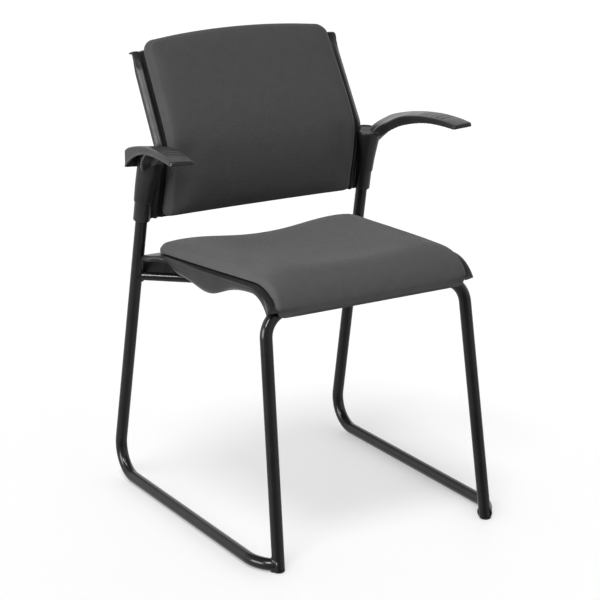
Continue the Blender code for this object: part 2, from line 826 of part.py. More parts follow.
def skin(name, frames, sections):
    """An open surface with a mirrored half section at each frame, its faces along the normals."""
    columns = len(sections[0]) - 1
    bm = bmesh.new()
    bmesh.ops.create_grid(bm, x_segments=2 * columns, y_segments=len(frames) - 1, size=1)
    for vert in bm.verts:
        column = round(vert.co.x * columns)
        row = round((vert.co.y + 1) / 2 * (len(frames) - 1))
        x, height = sections[row][abs(column)]
        vert.co = at(frames[row], math.copysign(x, column), height)
    bm.normal_update()
    middle = max(bm.faces, key=lambda face: -abs(face.calc_center_median().x))
    nearest = min(frames, key=lambda frame: (at(frame) - middle.calc_center_median()).length)
    if middle.normal.dot(normal(nearest)) < 0:
        bmesh.ops.reverse_faces(bm, faces=bm.faces)
    return bmesh_to_mesh(name, bm)


def thicken(obj, wall, offset):
    """Gives an open surface its wall."""
    modifier = obj.modifiers.new("wall", "SOLIDIFY")
    modifier.thickness = wall
    modifier.offset = offset


def build_ear(side, sign):
    """Lug at the pan's rear corner that reaches back to the rear leg."""
    top = SEAT_HEIGHT - EAR_DROP
    leg = rear_leg(sign, top - EAR_DEPTH / 2)
    reach = abs(leg.x)
    root = SEAT_REAR_Y - EAR_ROOT
    points = [
        (PAN_HALF - EAR_WIDTH, root),
        (PAN_HALF - EAR_EDGE, root),
        (PAN_HALF - EAR_EDGE, SEAT_REAR_Y - EAR_NECK),
        (reach - EAR_ROUND, leg.y - TUBE_R - 2 * EAR_ROUND),
        (reach + TUBE_R / 2, leg.y),
        (reach - TUBE_R * 0.9, leg.y + TUBE_R / 3),
        (PAN_HALF - EAR_WIDTH * 0.7, SEAT_REAR_Y - EAR_EDGE),
        (PAN_HALF - EAR_WIDTH, SEAT_REAR_Y - EAR_NECK / 2),
    ]
    name = f"seat_pan_ear_{side}"
    mesh = outline_mesh(name, [(sign * x, y) for x, y in points], EAR_DEPTH / 2)
    return tool(name, soften(mesh, Matrix.Translation((0, 0, top - EAR_DEPTH / 2)), EAR_ROUND))


def build_seat_pan():
    """Moulded pan with a sunk floor, a rim, a bellied skirt and ears at the rear corners."""
    start_heading = SEAT_HEADING - SEAT_REAR_TURN
    rear_y = SEAT_REAR_Y - SEAT_REAR_R * (math.sin(SEAT_HEADING) - math.sin(start_heading))
    rear_z = SEAT_HEIGHT + SEAT_REAR_R * (math.cos(SEAT_HEADING) - math.cos(start_heading))
    slope_end = PAN_REAR_LEDGE + PAN_REAR_SLOPE
    level = SEAT_RUN - PAN_FRONT_START - slope_end
    stops = [slope_end * share for share in (0.27, 0.58, 1)]
    stops += [slope_end + level * step / 7 for step in range(1, 8)]
    stops += [SEAT_RUN]
    frames = along(
        (rear_y, rear_z),
        start_heading,
        [
            ("arc", SEAT_REAR_R, SEAT_REAR_TURN, 3),
            ("line", stops),
            ("arc", SEAT_LIP_R, SEAT_LIP_TURN, 8),
        ],
    )
    rear_arc = SEAT_REAR_R * SEAT_REAR_TURN
    sections = [pan_section(frame.s - rear_arc) for frame in frames]
    obj = part("seat_pan", skin("seat_pan", frames, sections))
    thicken(obj, PAN_WALL, -1)
    for side, sign in SIDES.items():
        join(obj, build_ear(side, sign))
    cut(obj, *REAR_LEG_TOOLS.values(), *SEAT_BOLT_TOOLS.values())
    finish(obj, BLACK_PLASTIC, 0.45)


def build_seat_board():
    """Flat plywood board inside the seat pad."""
    middle = seat_at((BOARD_START + BOARD_END) / 2, 0, SEAT_BOARD_TOP - SEAT_BOARD / 2)
    size = (2 * (PAN_FLOOR_HALF - SEAT_BOARD_GAP), BOARD_END - BOARD_START, SEAT_BOARD)
    obj = part("seat_board", block("seat_board", seat_axes(middle), size))
    for key, (distance, x) in SEAT_BOLTS.items():
        face = seat_at(distance, x, SEAT_BOARD_TOP)
        cut(obj, *board_tools(f"seat_board_{key}", face, SEAT_UP, SEAT_BOARD))
    finish(obj, PLYWOOD, 0.7)


def cushion(name, columns, rows, place):
    """A soft form: a box cut into columns and rows, with a belt round its side, put where place says.

    place(column, row, level) takes column from -1 to 1, a row number, and a level of -1, 0 or 1.
    """
    bm = bmesh.new()
    bmesh.ops.create_cube(bm, size=2)
    for axis, cuts in ((0, columns - 1), (1, rows - 1), (2, 1)):
        edges = [e for e in bm.edges if abs(e.verts[0].co[axis] - e.verts[1].co[axis]) > 1]
        bmesh.ops.subdivide_edges(bm, edges=edges, cuts=cuts, use_grid_fill=True)
    for vert in bm.verts:
        column = round(vert.co.x * columns / 2 + columns / 2)
        row = round(vert.co.y * rows / 2 + rows / 2)
        vert.co = place(column, row, round(vert.co.z))
    bm.normal_update()
    bmesh.ops.recalc_face_normals(bm, faces=bm.faces)
    obj = part(name, bmesh_to_mesh(name, bm))
    modifier = obj.modifiers.new("soft", "SUBSURF")
    modifier.levels = 1
    modifier.render_levels = 1
    return obj


def corner_inset(distance, radius):
    """How far a rounded corner draws the side in, this far from the end."""
    if distance >= radius:
        return 0.0
    return radius - math.sqrt(radius**2 - (radius - distance) ** 2)


SHARES = [-share for share in reversed(PAD_SHARES)] + [0, *PAD_SHARES]


def build_seat_pad():
    """Upholstered seat: crowned edges, a dished middle, and a front that rolls over the lip."""
    stops = [BOARD_START / 3, BOARD_START]
    stops += [BOARD_START + (SEAT_RUN - BOARD_START) * step / 4 for step in range(1, 5)]
    frames = seat_line(stops, 5)
    last = len(frames) - 1
    half = PAN_HALF - SEAT_PAD_INSET
    recess = SEAT_BOARD_TOP + SOFT_FIT
    outer = {0.78: recess + PAD_RECESS_LIFT, 0.93: PAD_RECESS_LIFT, 1: SOFT_FIT}

    def place(column, row, level):
        share = SHARES[column]
        frame = frames[row]
        lip = ease((frame.s - SEAT_RUN * 0.75) / (frames[-1].s - SEAT_RUN * 0.75))
        side = half - (SEAT_PAD_LIP_INSET - SEAT_PAD_INSET) * lip
        side -= corner_inset(frame.s, SEAT_PAD_REAR_R)
        edge_column, edge_row = abs(share) == 1, row in (0, last)
        crest = SEAT_PAD_CREST + (SEAT_PAD_LIP - SEAT_PAD_CREST) * lip
        crest += SEAT_PAD_REAR_LIFT * (1 - ease(frame.s / SEAT_PAD_LIFT_RUN))
        dish = math.cos(min(1, abs(share) / 0.8) * math.pi / 2) ** 2
        top = crest - SEAT_PAD_DISH * (1 - lip) * dish
        bottom = SOFT_FIT
        if 1 < row and frame.s < BOARD_END:
            bottom = outer.get(abs(share), recess)
        height = {1: top, 0: crest * PAD_BELT_AT, -1: bottom}[level]
        outwards = PAD_BELT_OUT if level == 0 else -PAD_EDGE_IN
        x = share * side
        ahead = 0.0
        if edge_column:
            x = math.copysign(side + outwards, share)
        if edge_row:
            ahead = -outwards - SEAT_PAD_REAR_REACH if row == 0 else outwards
        if level == 1 and (edge_column or edge_row):
            height -= PAD_EDGE_IN
        return at(frame, x, height, ahead)

    obj = cushion("seat_pad", len(SHARES) - 1, last, place)
    finish(obj, GREY_FABRIC, 0.95)


# Back


def build_socket(side, sign):
    """Socket round the upright's end, and the web that ties it to the shell."""
    low = rear_leg(sign, BACK_LOW_Z)
    high = rear_leg(sign, UPRIGHT_TOP_Z + SOCKET_CAP)
    name = f"back_shell_socket_{side}"
    socket = tool(name, rod(name, low, high, SOCKET_OD / 2))
    return [socket, tool(f"back_shell_web_{side}", web_block(f"back_shell_web_{side}", sign))]


def web_block(name, sign):
    """Web between a socket and the shell's edge."""
    low, high = rear_leg(sign, BACK_LOW_Z), rear_leg(sign, UPRIGHT_TOP_Z + SOCKET_CAP)
    across = SHELL_LEG_GAP + SHELL_ROLL
    middle = (low + high) / 2 + LEG_BACK[sign] * WEB_THICKNESS / 2 - Vector((sign * across / 2, 0, 0))
    length = (high - low).length
    return block(
        name,
        axes(middle, Vector((1, 0, 0)), LEG_BACK[sign], LEG_AXIS[sign]),
        (across, WEB_THICKNESS, length),
    )


def shell_section(frame):
    """Half section of the back shell from its middle to its rolled edge, as (x, height)."""
    edge = rear_leg(1, frame.z).x - SHELL_LEG_GAP
    fade = ease((frame.s - BACK_TOP.s) / SHELL_ROLL_FADE + 1)
    roll = SHELL_ROLL + (SHELL_LIP_ROLL - SHELL_ROLL) * fade
    return [
        (0, 0),
        (edge * 0.45, 0),
        (edge - 2 * SHELL_ROLL_WIDTH, 0),
        (edge - SHELL_ROLL_WIDTH, 0),
        (edge - 0.43 * SHELL_ROLL_WIDTH, roll * 0.08),
        (edge - 0.13 * SHELL_ROLL_WIDTH, roll * 0.30),
        (edge, roll * 0.58),
        (edge + (0.15 * fade - 0.03) * SHELL_ROLL_WIDTH, roll),
    ]


def build_back_shell():
    """Moulded shell, bent at the lumbar, with rolled edges, a lipped top and two sockets."""
    lower = [BACK_LOWER_RUN * step / 3 for step in (1, 2, 3)]
    upper = [BACK_UPPER_RUN * step / 5 for step in range(1, 6)]
    frames = back_line(lower, 6, upper)
    top = frames[-1]
    pieces = [("arc", BACK_LIP_R, -BACK_LIP_TURN, 4), ("line", [BACK_LIP])]
    lip = along((top.y, top.z), top.heading, pieces)[1:]
    frames += [frame._replace(s=top.s + frame.s) for frame in lip]
    mesh = skin("back_shell", frames, [shell_section(frame) for frame in frames])
    mesh.flip_normals()
    obj = part("back_shell", mesh)
    thicken(obj, SHELL_WALL, -1)
    for side, sign in SIDES.items():
        join(obj, *build_socket(side, sign))
    for side, sign in SIDES.items():
        name = f"back_shell_bore_{side}"
        low = rear_leg(sign, BACK_LOW_Z - TUBE_OD)
        cut(obj, tool(name, rod(name, low, rear_leg(sign, UPRIGHT_TOP_Z + FIT), TUBE_R + FIT)))
        cut(obj, ARM_SCREW_TOOLS[side])
    cut(obj, *BACK_BOLT_TOOLS.values())
    finish(obj, BLACK_PLASTIC, 0.45)


BACK_LOW = back_line([BACK_LOWER_RUN], 1, [BACK_UPPER_RUN])[0]
BACK_TOP = back_line([BACK_LOWER_RUN], 1, [BACK_UPPER_RUN])[-1]
BACK_BOLTS = {}
for side_name, side_sign in SIDES.items():
    BACK_BOLTS[f"low_{side_name}"] = (BACK_LOW, BACK_BOLT_LOW, side_sign * BOLT_X)
    BACK_BOLTS[f"high_{side_name}"] = (BACK_TOP, -BACK_BOLT_HIGH, side_sign * BOLT_X)
BACK_BOLT_TOOLS = {
    key: bolt_tool(f"back_bolt_{key}_hole", at(frame, x, 0, ahead), normal(frame))
    for key, (frame, ahead, x) in BACK_BOLTS.items()
}
BACK_BOARD_FACE = FIT + BACK_BOARD


def build_back_board():
    """Bent plywood board inside the back pad."""
    lower = [BACK_LOWER_RUN * step / 3 for step in (1, 2, 3)]
    upper = [BACK_UPPER_RUN * step / 5 for step in range(1, 6)]
    frames = back_line(lower, 6, upper)
    inset = BACK_BOARD_INSET / 2
    frames[0] = frames[0]._replace(
        y=at(frames[0], ahead=inset).y, z=at(frames[0], ahead=inset).z, s=frames[0].s + inset
    )
    frames[-1] = frames[-1]._replace(
        y=at(frames[-1], ahead=-inset).y, z=at(frames[-1], ahead=-inset).z, s=frames[-1].s - inset
    )
    half = rear_leg(1, BACK_LOW_Z).x - SHELL_LEG_GAP - BACK_BOARD_INSET
    sections = [[(0, -FIT), (half, -FIT)] for _ in frames]
    mesh = skin("back_board", frames, sections)
    mesh.flip_normals()
    obj = part("back_board", mesh)
    thicken(obj, BACK_BOARD, 1)
    for key, (frame, ahead, x) in BACK_BOLTS.items():
        face = at(frame, x, -BACK_BOARD_FACE, ahead)
        cut(obj, *board_tools(f"back_board_{key}", face, -normal(frame), BACK_BOARD))
    finish(obj, PLYWOOD, 0.7)


def build_back_fasteners(key, frame, ahead, x):
    """Bolt from behind through the shell, and its tee nut in the board."""
    front = -normal(frame)
    seat = at(frame, x, SHELL_WALL + FIT, ahead)
    shank = SHELL_WALL + BACK_BOARD
    bolt = turned(f"back_bolt_{key}", bolt_profile(shank, BOLT_D, BOLT_HEAD_D, BOLT_HEAD), seat, front)
    finish(bolt, BLACK_COAT, 0.35, 0.0)
    face = at(frame, x, -BACK_BOARD_FACE, ahead)
    nut = turned(f"back_tee_nut_{key}", tee_profile(BACK_BOARD), face, front, closed=True)
    finish(nut, ZINC, 0.4, 1.0)


def build_back_pad():
    """Upholstered back: a lumbar swell, drawn-in sides and a crowned top edge."""
    lower = [BACK_LOWER_RUN * share for share in (0.1, 0.42, 1)]
    upper = [BACK_UPPER_RUN * share for share in (0.25, 0.5, 0.75, 0.93, 1.0)]
    frames = back_line(lower, 3, upper)
    last = len(frames) - 1
    span = frames[-1].s
    bend = span - BACK_UPPER_RUN - BACK_KINK_R * (BACK_LOWER_LEAN + BACK_UPPER_LEAN) / 2

    def place(column, row, level):
        share = SHARES[column]
        frame = frames[row]
        half = rear_leg(1, frame.z).x - SHELL_LEG_GAP - BACK_PAD_INSET
        above = ease((frame.s - span * 0.6) / (span * 0.4))
        half -= corner_inset(span - frame.s, BACK_PAD_CORNER_R) * 0.6
        half -= corner_inset(frame.s, BACK_PAD_CORNER_R / 2) * 0.6
        edge_column, edge_row = abs(share) == 1, row in (0, last)
        edge = edge_column or edge_row
        bottom = SOFT_FIT if edge else BACK_BOARD_FACE + 2 * SOFT_FIT
        soften_bend = BACK_PAD_EASE * math.exp(-(((frame.s - bend) / BACK_PAD_EASE_SPREAD) ** 2))
        face = BACK_PAD_DEPTH - BACK_PAD_HOLLOW * (1 - share**2) - soften_bend
        depth = {1: face, 0: BACK_PAD_BELT, -1: bottom}[level]
        outwards = {1: -BACK_PAD_ROUND, 0: PAD_BELT_OUT, -1: 0}[level]
        x = share * half
        ahead = above * (BACK_PAD_ABOVE + BACK_PAD_CROWN * (1 - share**2))
        if edge_column:
            x = math.copysign(half + outwards, share)
        if edge_row:
            ahead += -outwards if row == 0 else outwards
        if level == 1 and edge:
            depth -= BACK_PAD_ROUND / 2
        return at(frame, x, -depth, ahead)

    obj = cushion("back_pad", len(SHARES) - 1, last, place)
    finish(obj, GREY_FABRIC, 0.95)


# Armrests

SLEEVE_LOW_Z = BACK_LOW_Z + COLLAR_SHOWN
SLEEVE_TOP_Z = UPRIGHT_TOP_Z + SLEEVE_ABOVE


def arm_top(ahead):
    """Height of the arm's top above the sleeve's, this far in front of its axis."""
    return ARM_CREST - (ahead - ARM_CREST_AT) ** 2 / (2 * ARM_TOP_R)


def arm_depth(ahead):
    """Depth of the arm's side walls."""
    heel = max(0.0, 1 - ahead / ARM_HEEL_RUN)
    return ARM_TIP + (ARM_REACH - ahead) * ARM_DEEPEN + ARM_HEEL * heel**2


def arm_outline():
    """Side view of the arm, as (ahead, up) points round its edge."""
    steps = 12
    run = [ARM_REAR + (ARM_REACH - ARM_REAR) * step / steps for step in range(steps + 1)]
    top = [(ahead, arm_top(ahead)) for ahead in run]
    top[0] = (ARM_REAR, arm_top(ARM_REAR) - ARM_WALL * 1.5)
    return top + [(ahead, arm_top(ahead) - arm_depth(ahead)) for ahead in reversed(run)]


def arm_hollow():
    """Side view of the space under the arm."""
    steps = 8
    rear, front = ARM_REAR + ARM_WALL, ARM_REACH - ARM_TIP_SOLID
    run = [rear + (front - rear) * step / steps for step in range(steps + 1)]
    roof = [(ahead, arm_top(ahead) - ARM_WALL) for ahead in run]
    roof[0] = (rear, roof[0][1] - ARM_WALL)
    return roof + [(front, -ARM_CREST), (rear, -ARM_CREST)]


def arm_drop(ahead):
    """How far the arm's inner edge lies below its outer one."""
    return ARM_DROP * max(0.0, 1 - ahead / ARM_LEVEL_AT)


def tilt(mesh, sign):
    """Lowers the arm's inner edge, on a mesh in the arm's own axes."""
    for vert in mesh.vertices:
        inner = 0.5 + sign * vert.co.z / ARM_WIDTH
        vert.co.y -= arm_drop(vert.co.x) * inner
    return mesh


def gusset_outline():
    """Side view of the flare between the sleeve and the arm's underside."""
    foot = SLEEVE_OD / 2

    def front(share, ahead):
        down = GUSSET_FOOT * share
        return (foot + ahead * GUSSET_FLARE - down * math.tan(REAR_LEG_LEAN), -down)

    def under(ahead, wall):
        return (ahead, arm_top(ahead) - 0.65 * arm_drop(ahead) - wall)

    return [
        (-foot / 2 - GUSSET_FOOT * math.tan(REAR_LEG_LEAN), -GUSSET_FOOT),
        front(1, -0.15),
        front(0.55, -0.05),
        front(0.24, 0.25),
        front(0.05, 1),
        under(foot + 2.1 * GUSSET_FLARE, 2 * GUSSET_TIP),
        under(GUSSET_RUN, GUSSET_TIP),
        under(GUSSET_RUN, ARM_WALL / 2),
        under(GUSSET_RUN / 2, ARM_WALL / 2),
        under(ARM_REAR + ARM_WALL / 2, 2 * ARM_WALL),
        (-foot / 2, -ARM_WALL),
    ]


def build_arm(side, sign):
    """Moulded armrest: a sleeve over the socket, flared into a hollow arched arm."""
    low, high = rear_leg(sign, SLEEVE_LOW_Z), rear_leg(sign, SLEEVE_TOP_Z)
    ahead = Vector((sign * math.sin(ARM_SPLAY), -math.cos(ARM_SPLAY), 0))
    up = Vector((0, 0, 1))
    across = ahead.cross(up)
    arm_axes = axes(high + Vector((sign * ARM_OUT, 0, 0)), ahead, up, across)
    gusset_axes = axes(high + Vector((sign * ARM_OUT * 0.7, 0, 0)), ahead, up, across)
    name = f"arm_{side}"
    solid = tilt(outline_mesh(name, arm_outline(), ARM_WIDTH / 2), sign)
    obj = part(name, soften(solid, arm_axes, ARM_ROUND))
    hollow_mesh = tilt(outline_mesh(name + "_hollow", arm_hollow(), ARM_WIDTH / 2 - ARM_WALL), sign)
    hollow_mesh.transform(arm_axes)
    gusset_mesh = outline_mesh(name + "_gusset", gusset_outline(), GUSSET_WIDTH / 2)
    gusset_mesh.transform(gusset_axes)
    sleeve = rod(name + "_sleeve", low, high, SLEEVE_OD / 2, SLEEVE_TOP_OD / 2)
    cut(obj, tool(name + "_hollow", hollow_mesh))
    join(obj, tool(name + "_gusset", gusset_mesh), tool(name + "_sleeve", sleeve))
    bore_top = rear_leg(sign, UPRIGHT_TOP_Z + SOCKET_CAP + FIT)
    bore = rod(name + "_bore", rear_leg(sign, SLEEVE_LOW_Z - TUBE_OD), bore_top, SOCKET_OD / 2 + FIT)
    opening = SLEEVE_TOP_OD
    slot_middle = (low + high) / 2 - Vector((sign * (opening / 2 + TUBE_R / 2), 0, 0))
    slot = block(
        name + "_slot",
        axes(slot_middle, Vector((1, 0, 0)), LEG_BACK[sign], LEG_AXIS[sign]),
        (opening, 2 * WEB_THICKNESS + TUBE_WALL + 2 * FIT, 2 * (high - low).length),
    )
    cut(obj, tool(name + "_bore", bore), tool(name + "_slot", slot), ARM_SCREW_TOOLS[side])
    finish(obj, BLACK_PLASTIC, 0.5)


def build_arm_screw(side, sign):
    """Screw from behind through sleeve, socket and upright."""
    seat = rear_leg(sign, BACK_LOW_Z + ARM_SCREW_RISE)
    share = (seat.z - SLEEVE_LOW_Z) / (SLEEVE_TOP_Z - SLEEVE_LOW_Z)
    radius = (SLEEVE_OD + (SLEEVE_TOP_OD - SLEEVE_OD) * share) / 2
    under = seat + LEG_BACK[sign] * (radius + 2 * FIT)
    shank = radius - TUBE_R + 2 * TUBE_WALL
    profile = bolt_profile(shank, ARM_SCREW_D, ARM_SCREW_HEAD_D, ARM_SCREW_HEAD)
    finish(turned(f"arm_screw_{side}", profile, under, -LEG_BACK[sign]), BLACK_COAT, 0.35, 0.0)


def main():
    """Builds every sub-part."""
    for side, sign in SIDES.items():
        build_side_frame(side, sign)
        build_foot_plug(side, sign)
        build_arm(side, sign)
        build_arm_screw(side, sign)
    build_front_frame()
    build_cross_tube()
    for key, (distance, x) in SEAT_BOLTS.items():
        build_seat_bracket(key, distance, x)
        build_seat_fasteners(key, distance, x)
    build_seat_pan()
    build_seat_board()
    build_seat_pad()
    build_back_shell()
    build_back_board()
    for key, (frame, ahead, x) in BACK_BOLTS.items():
        build_back_fasteners(key, frame, ahead, x)
    build_back_pad()
    bpy.context.view_layer.update()


main()
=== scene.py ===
"""Studio dressing of a sled-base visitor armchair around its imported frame.

Metres, +Z up. The chair faces -Y, so its left side is +X.
"""

from __future__ import annotations

import json
import logging
import math
from dataclasses import dataclass, field
from enum import Enum
from typing import Callable, Sequence

import bmesh
import bpy
from bmesh.types import BMEdge, BMesh, BMFace, BMVert
from bpy.types import Material, NodeSocket, Object
from mathutils import Matrix, Vector

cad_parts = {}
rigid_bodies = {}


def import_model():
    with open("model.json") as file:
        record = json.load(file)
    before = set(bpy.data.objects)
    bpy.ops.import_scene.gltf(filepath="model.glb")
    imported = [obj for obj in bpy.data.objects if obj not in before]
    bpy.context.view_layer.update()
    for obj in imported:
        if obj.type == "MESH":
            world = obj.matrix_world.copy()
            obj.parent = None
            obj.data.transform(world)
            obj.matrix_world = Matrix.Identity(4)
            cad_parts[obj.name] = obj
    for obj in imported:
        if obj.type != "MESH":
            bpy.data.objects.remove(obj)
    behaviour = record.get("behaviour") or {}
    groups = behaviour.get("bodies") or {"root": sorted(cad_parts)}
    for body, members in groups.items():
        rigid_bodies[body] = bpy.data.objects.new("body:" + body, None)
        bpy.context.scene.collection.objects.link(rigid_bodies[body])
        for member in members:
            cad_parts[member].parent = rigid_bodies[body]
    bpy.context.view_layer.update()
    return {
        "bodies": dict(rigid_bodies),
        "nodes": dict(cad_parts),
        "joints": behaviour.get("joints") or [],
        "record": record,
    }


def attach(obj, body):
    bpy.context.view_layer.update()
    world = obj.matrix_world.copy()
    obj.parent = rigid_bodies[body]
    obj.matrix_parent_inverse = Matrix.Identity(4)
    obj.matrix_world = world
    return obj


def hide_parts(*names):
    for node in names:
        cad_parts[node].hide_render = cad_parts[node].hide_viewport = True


LOG = logging.getLogger("armchair")
BODY = "root"
ACROSS = Vector((1, 0, 0))
UP = Vector((0, 0, 1))
TUBE_SIDES = 28
BEND_STEPS = 18
EDGE_SEGMENTS = 2
SHARP_EDGE = math.radians(38)
WALL_EDGE = math.radians(50)
BAND_SCALE = math.pi / 10  # scale of a wave texture with one band per metre
# Tones of the back's weave: the seat's fabric painted about a fifth darker, as painted shade for
# the back's upright face, which gets less light than the seat's top.
SHADED_BACK_TONES = ((0.0352, 0.0352, 0.0360), (0.0590, 0.0590, 0.0608))
NIP = 0.03  # start of a rolled edge, past its upright end
Colour = tuple[float, float, float]
Curve = tuple[tuple[float, float], ...]
Place = Callable[[float, float], Vector]


class Side(Enum):
    """A side of the chair, valued by the sign of its X."""

    LEFT = 1
    RIGHT = -1

    @property
    def label(self) -> str:
        """The side's word in piece and node names."""
        return self.name.lower()


class Slot(Enum):
    """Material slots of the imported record."""

    FRAME = "frame_coat"
    PLASTIC = "plastic"
    SEAT = "seat_cover"
    BACK = "back_cover"
    PLYWOOD = "plywood"
    ZINC = "zinc"


# Finishes


class Recipe:
    """A Principled material while its nodes are wired."""

    def __init__(self, name: str) -> None:
        """Starts a material.

        Args:
            name: The material's name.
        """
        self.material = bpy.data.materials.new(name)
        self.material.use_nodes = True
        self.nodes = self.material.node_tree.nodes
        self.shader = self.nodes["Principled BSDF"]
        self.place = self.nodes.new("ShaderNodeTexCoord").outputs["Object"]

    def set(self, **values: float | Colour) -> None:
        """Sets plain values on the shader's own sockets.

        Args:
            values: Socket names with underscores for spaces.
        """
        for key, value in values.items():
            socket = self.shader.inputs[key.replace("_", " ")]
            socket.default_value = (*value, 1) if isinstance(value, tuple) else value

    def add(self, kind: str, **values: float | Sequence[float]) -> bpy.types.Node:
        """Adds a node.

        Args:
            kind: The node's type.
            values: Socket names with underscores for spaces.

        Returns:
            The node.
        """
        node = self.nodes.new(kind)
        for key, value in values.items():
            node.inputs[key.replace("_", " ")].default_value = value
        return node

    def link(self, source: NodeSocket, target: NodeSocket) -> None:
        """Wires one socket to another."""
        self.material.node_tree.links.new(source, target)

    def turned(
        self, angles: Sequence[float], scale: Sequence[float] = (1, 1, 1)
    ) -> NodeSocket:
        """Object coordinates, turned and stretched.

        Args:
            angles: Rotation about X, Y and Z.
            scale: Stretch along X, Y and Z.

        Returns:
            The mapped vector.
        """
        node = self.add("ShaderNodeMapping", Rotation=angles, Scale=scale)
        self.link(self.place, node.inputs["Vector"])
        return node.outputs["Vector"]

    def noise(self, scale: float, detail: float = 2.0) -> NodeSocket:
        """Noise on the piece.

        Args:
            scale: Features per metre.
            detail: Octaves.

        Returns:
            A value about 0 to 1.
        """
        node = self.add("ShaderNodeTexNoise", Scale=scale, Detail=detail)
        self.link(self.place, node.inputs["Vector"])
        return node.outputs["Fac"]

    def bands(self, pitch: float, distortion: float, vector: NodeSocket) -> NodeSocket:
        """Even bands along the coordinates' X.

        Args:
            pitch: Distance from band to band.
            distortion: How far noise bends them.
            vector: The coordinates.

        Returns:
            A value from 0 to 1.
        """
        node = self.add("ShaderNodeTexWave", Scale=BAND_SCALE / pitch, Distortion=distortion)
        node.inputs["Detail"].default_value = 1.0
        node.inputs["Detail Scale"].default_value = 2.0
        node.wave_type = "BANDS"
        node.bands_direction = "X"
        self.link(vector, node.inputs["Vector"])
        return node.outputs["Fac"]

    def blend(self, first: NodeSocket, second: NodeSocket, share: float) -> NodeSocket:
        """Mix of two values.

        Args:
            first: Value at share 0.
            second: Value at share 1.
            share: How much of the second.

        Returns:
            The mixed value.
        """
        node = self.add("ShaderNodeMix", Factor=share)
        self.link(first, node.inputs["A"])
        self.link(second, node.inputs["B"])
        return node.outputs["Result"]

    def tint(self, value: NodeSocket, low: Colour, high: Colour, start: float, end: float) -> None:
        """Colours the surface between two tones.

        Args:
            value: What chooses the tone.
            low: Tone at start.
            high: Tone at end.
            start: Value of the low tone.
            end: Value of the high tone.
        """
        ramp = self.nodes.new("ShaderNodeValToRGB")
        ramp.color_ramp.elements[0].position = start
        ramp.color_ramp.elements[0].color = (*low, 1)
        ramp.color_ramp.elements[1].position = end
        ramp.color_ramp.elements[1].color = (*high, 1)
        self.link(value, ramp.inputs["Fac"])
        self.link(ramp.outputs["Color"], self.shader.inputs["Base Color"])

    def rough(self, value: NodeSocket, low: float, high: float) -> None:
        """Varies the roughness.

        Args:
            value: What varies it, about 0.3 to 0.7.
            low: Least roughness.
            high: Greatest roughness.
        """
        node = self.add("ShaderNodeMapRange", From_Min=0.3, From_Max=0.7, To_Min=low, To_Max=high)
        self.link(value, node.inputs["Value"])
        self.link(node.outputs["Result"], self.shader.inputs["Roughness"])

    def bump(self, height: NodeSocket, depth: float, strength: float = 1.0) -> None:
        """Raises the surface.

        Args:
            height: Value from 0 to 1.
            depth: Height in metres at 1.
            strength: Share of it that shows.
        """
        node = self.add("ShaderNodeBump", Strength=strength, Distance=depth)
        self.link(height, node.inputs["Height"])
        self.link(node.outputs["Normal"], self.shader.inputs["Normal"])


@dataclass(frozen=True)
class GlossCoat:
    """Black powder coat with a slight orange peel."""

    dark: Colour = (0.0055, 0.0055, 0.0060)
    light: Colour = (0.0095, 0.0095, 0.0100)
    roughness: tuple[float, float] = (0.13, 0.20)
    peel: float = 420.0
    peel_depth: float = 0.00003

    def make(self, name: str) -> Material:
        """The finish as a material."""
        recipe = Recipe(name)
        recipe.set(Specular_IOR_Level=0.24, Coat_Weight=0.08, Coat_Roughness=0.06)
        recipe.tint(recipe.noise(18.0, 3.0), self.dark, self.light, 0.35, 0.7)
        recipe.rough(recipe.noise(60.0), *self.roughness)
        recipe.bump(recipe.noise(self.peel), self.peel_depth, 0.5)
        return recipe.material


@dataclass(frozen=True)
class GrainedPlastic:
    """Black moulded plastic with a spark-eroded grain."""

    dark: Colour = (0.0098, 0.0098, 0.0100)
    light: Colour = (0.0170, 0.0170, 0.0173)
    roughness: tuple[float, float] = (0.27, 0.36)
    grain: float = 1500.0
    grain_depth: float = 0.00004

    def make(self, name: str) -> Material:
        """The finish as a material."""
        recipe = Recipe(name)
        recipe.set(Specular_IOR_Level=0.22)
        tone = recipe.blend(recipe.noise(25.0, 3.0), recipe.noise(self.grain), 0.4)
        recipe.tint(tone, self.dark, self.light, 0.35, 0.65)
        recipe.rough(recipe.noise(45.0), *self.roughness)
        recipe.bump(recipe.noise(self.grain, 1.0), self.grain_depth, 0.5)
        return recipe.material


@dataclass(frozen=True)
class WovenCover:
    """Dark grey upholstery with a steep twill and crepe flecks."""

    dark: Colour = (0.0435, 0.0435, 0.0444)
    light: Colour = (0.0745, 0.0745, 0.0763)
    twill: float = 0.0034
    yarn: float = 0.0011
    twill_turn: tuple[float, ...] = (math.radians(38), math.radians(20), math.radians(38))
    depth: float = 0.0003

    def make(self, name: str) -> Material:
        """The finish as a material."""
        recipe = Recipe(name)
        recipe.set(Roughness=0.95, Specular_IOR_Level=0.12)
        recipe.set(Sheen_Weight=0.10, Sheen_Roughness=0.45, Sheen_Tint=(0.75, 0.75, 0.76))
        ribs = recipe.bands(self.twill, 1.2, recipe.turned(self.twill_turn))
        yarns = recipe.bands(self.yarn, 0.6, recipe.turned((0.0, 0.0, -self.twill_turn[2])))
        weave = recipe.blend(ribs, yarns, 0.45)
        flecks = recipe.blend(recipe.noise(950.0, 1.0), recipe.noise(55.0, 3.0), 0.35)
        recipe.tint(recipe.blend(weave, flecks, 0.55), self.dark, self.light, 0.25, 0.75)
        recipe.bump(weave, self.depth, 0.6)
        return recipe.material


@dataclass(frozen=True)
class ZincPlate:
    """Bright zinc on small steel pieces."""

    dark: Colour = (0.42, 0.43, 0.45)
    light: Colour = (0.62, 0.63, 0.65)

    def make(self, name: str) -> Material:
        """The finish as a material."""
        recipe = Recipe(name)
        recipe.set(Metallic=1.0)
        recipe.tint(recipe.noise(240.0, 3.0), self.dark, self.light, 0.3, 0.7)
        recipe.rough(recipe.noise(500.0), 0.28, 0.45)
        return recipe.material


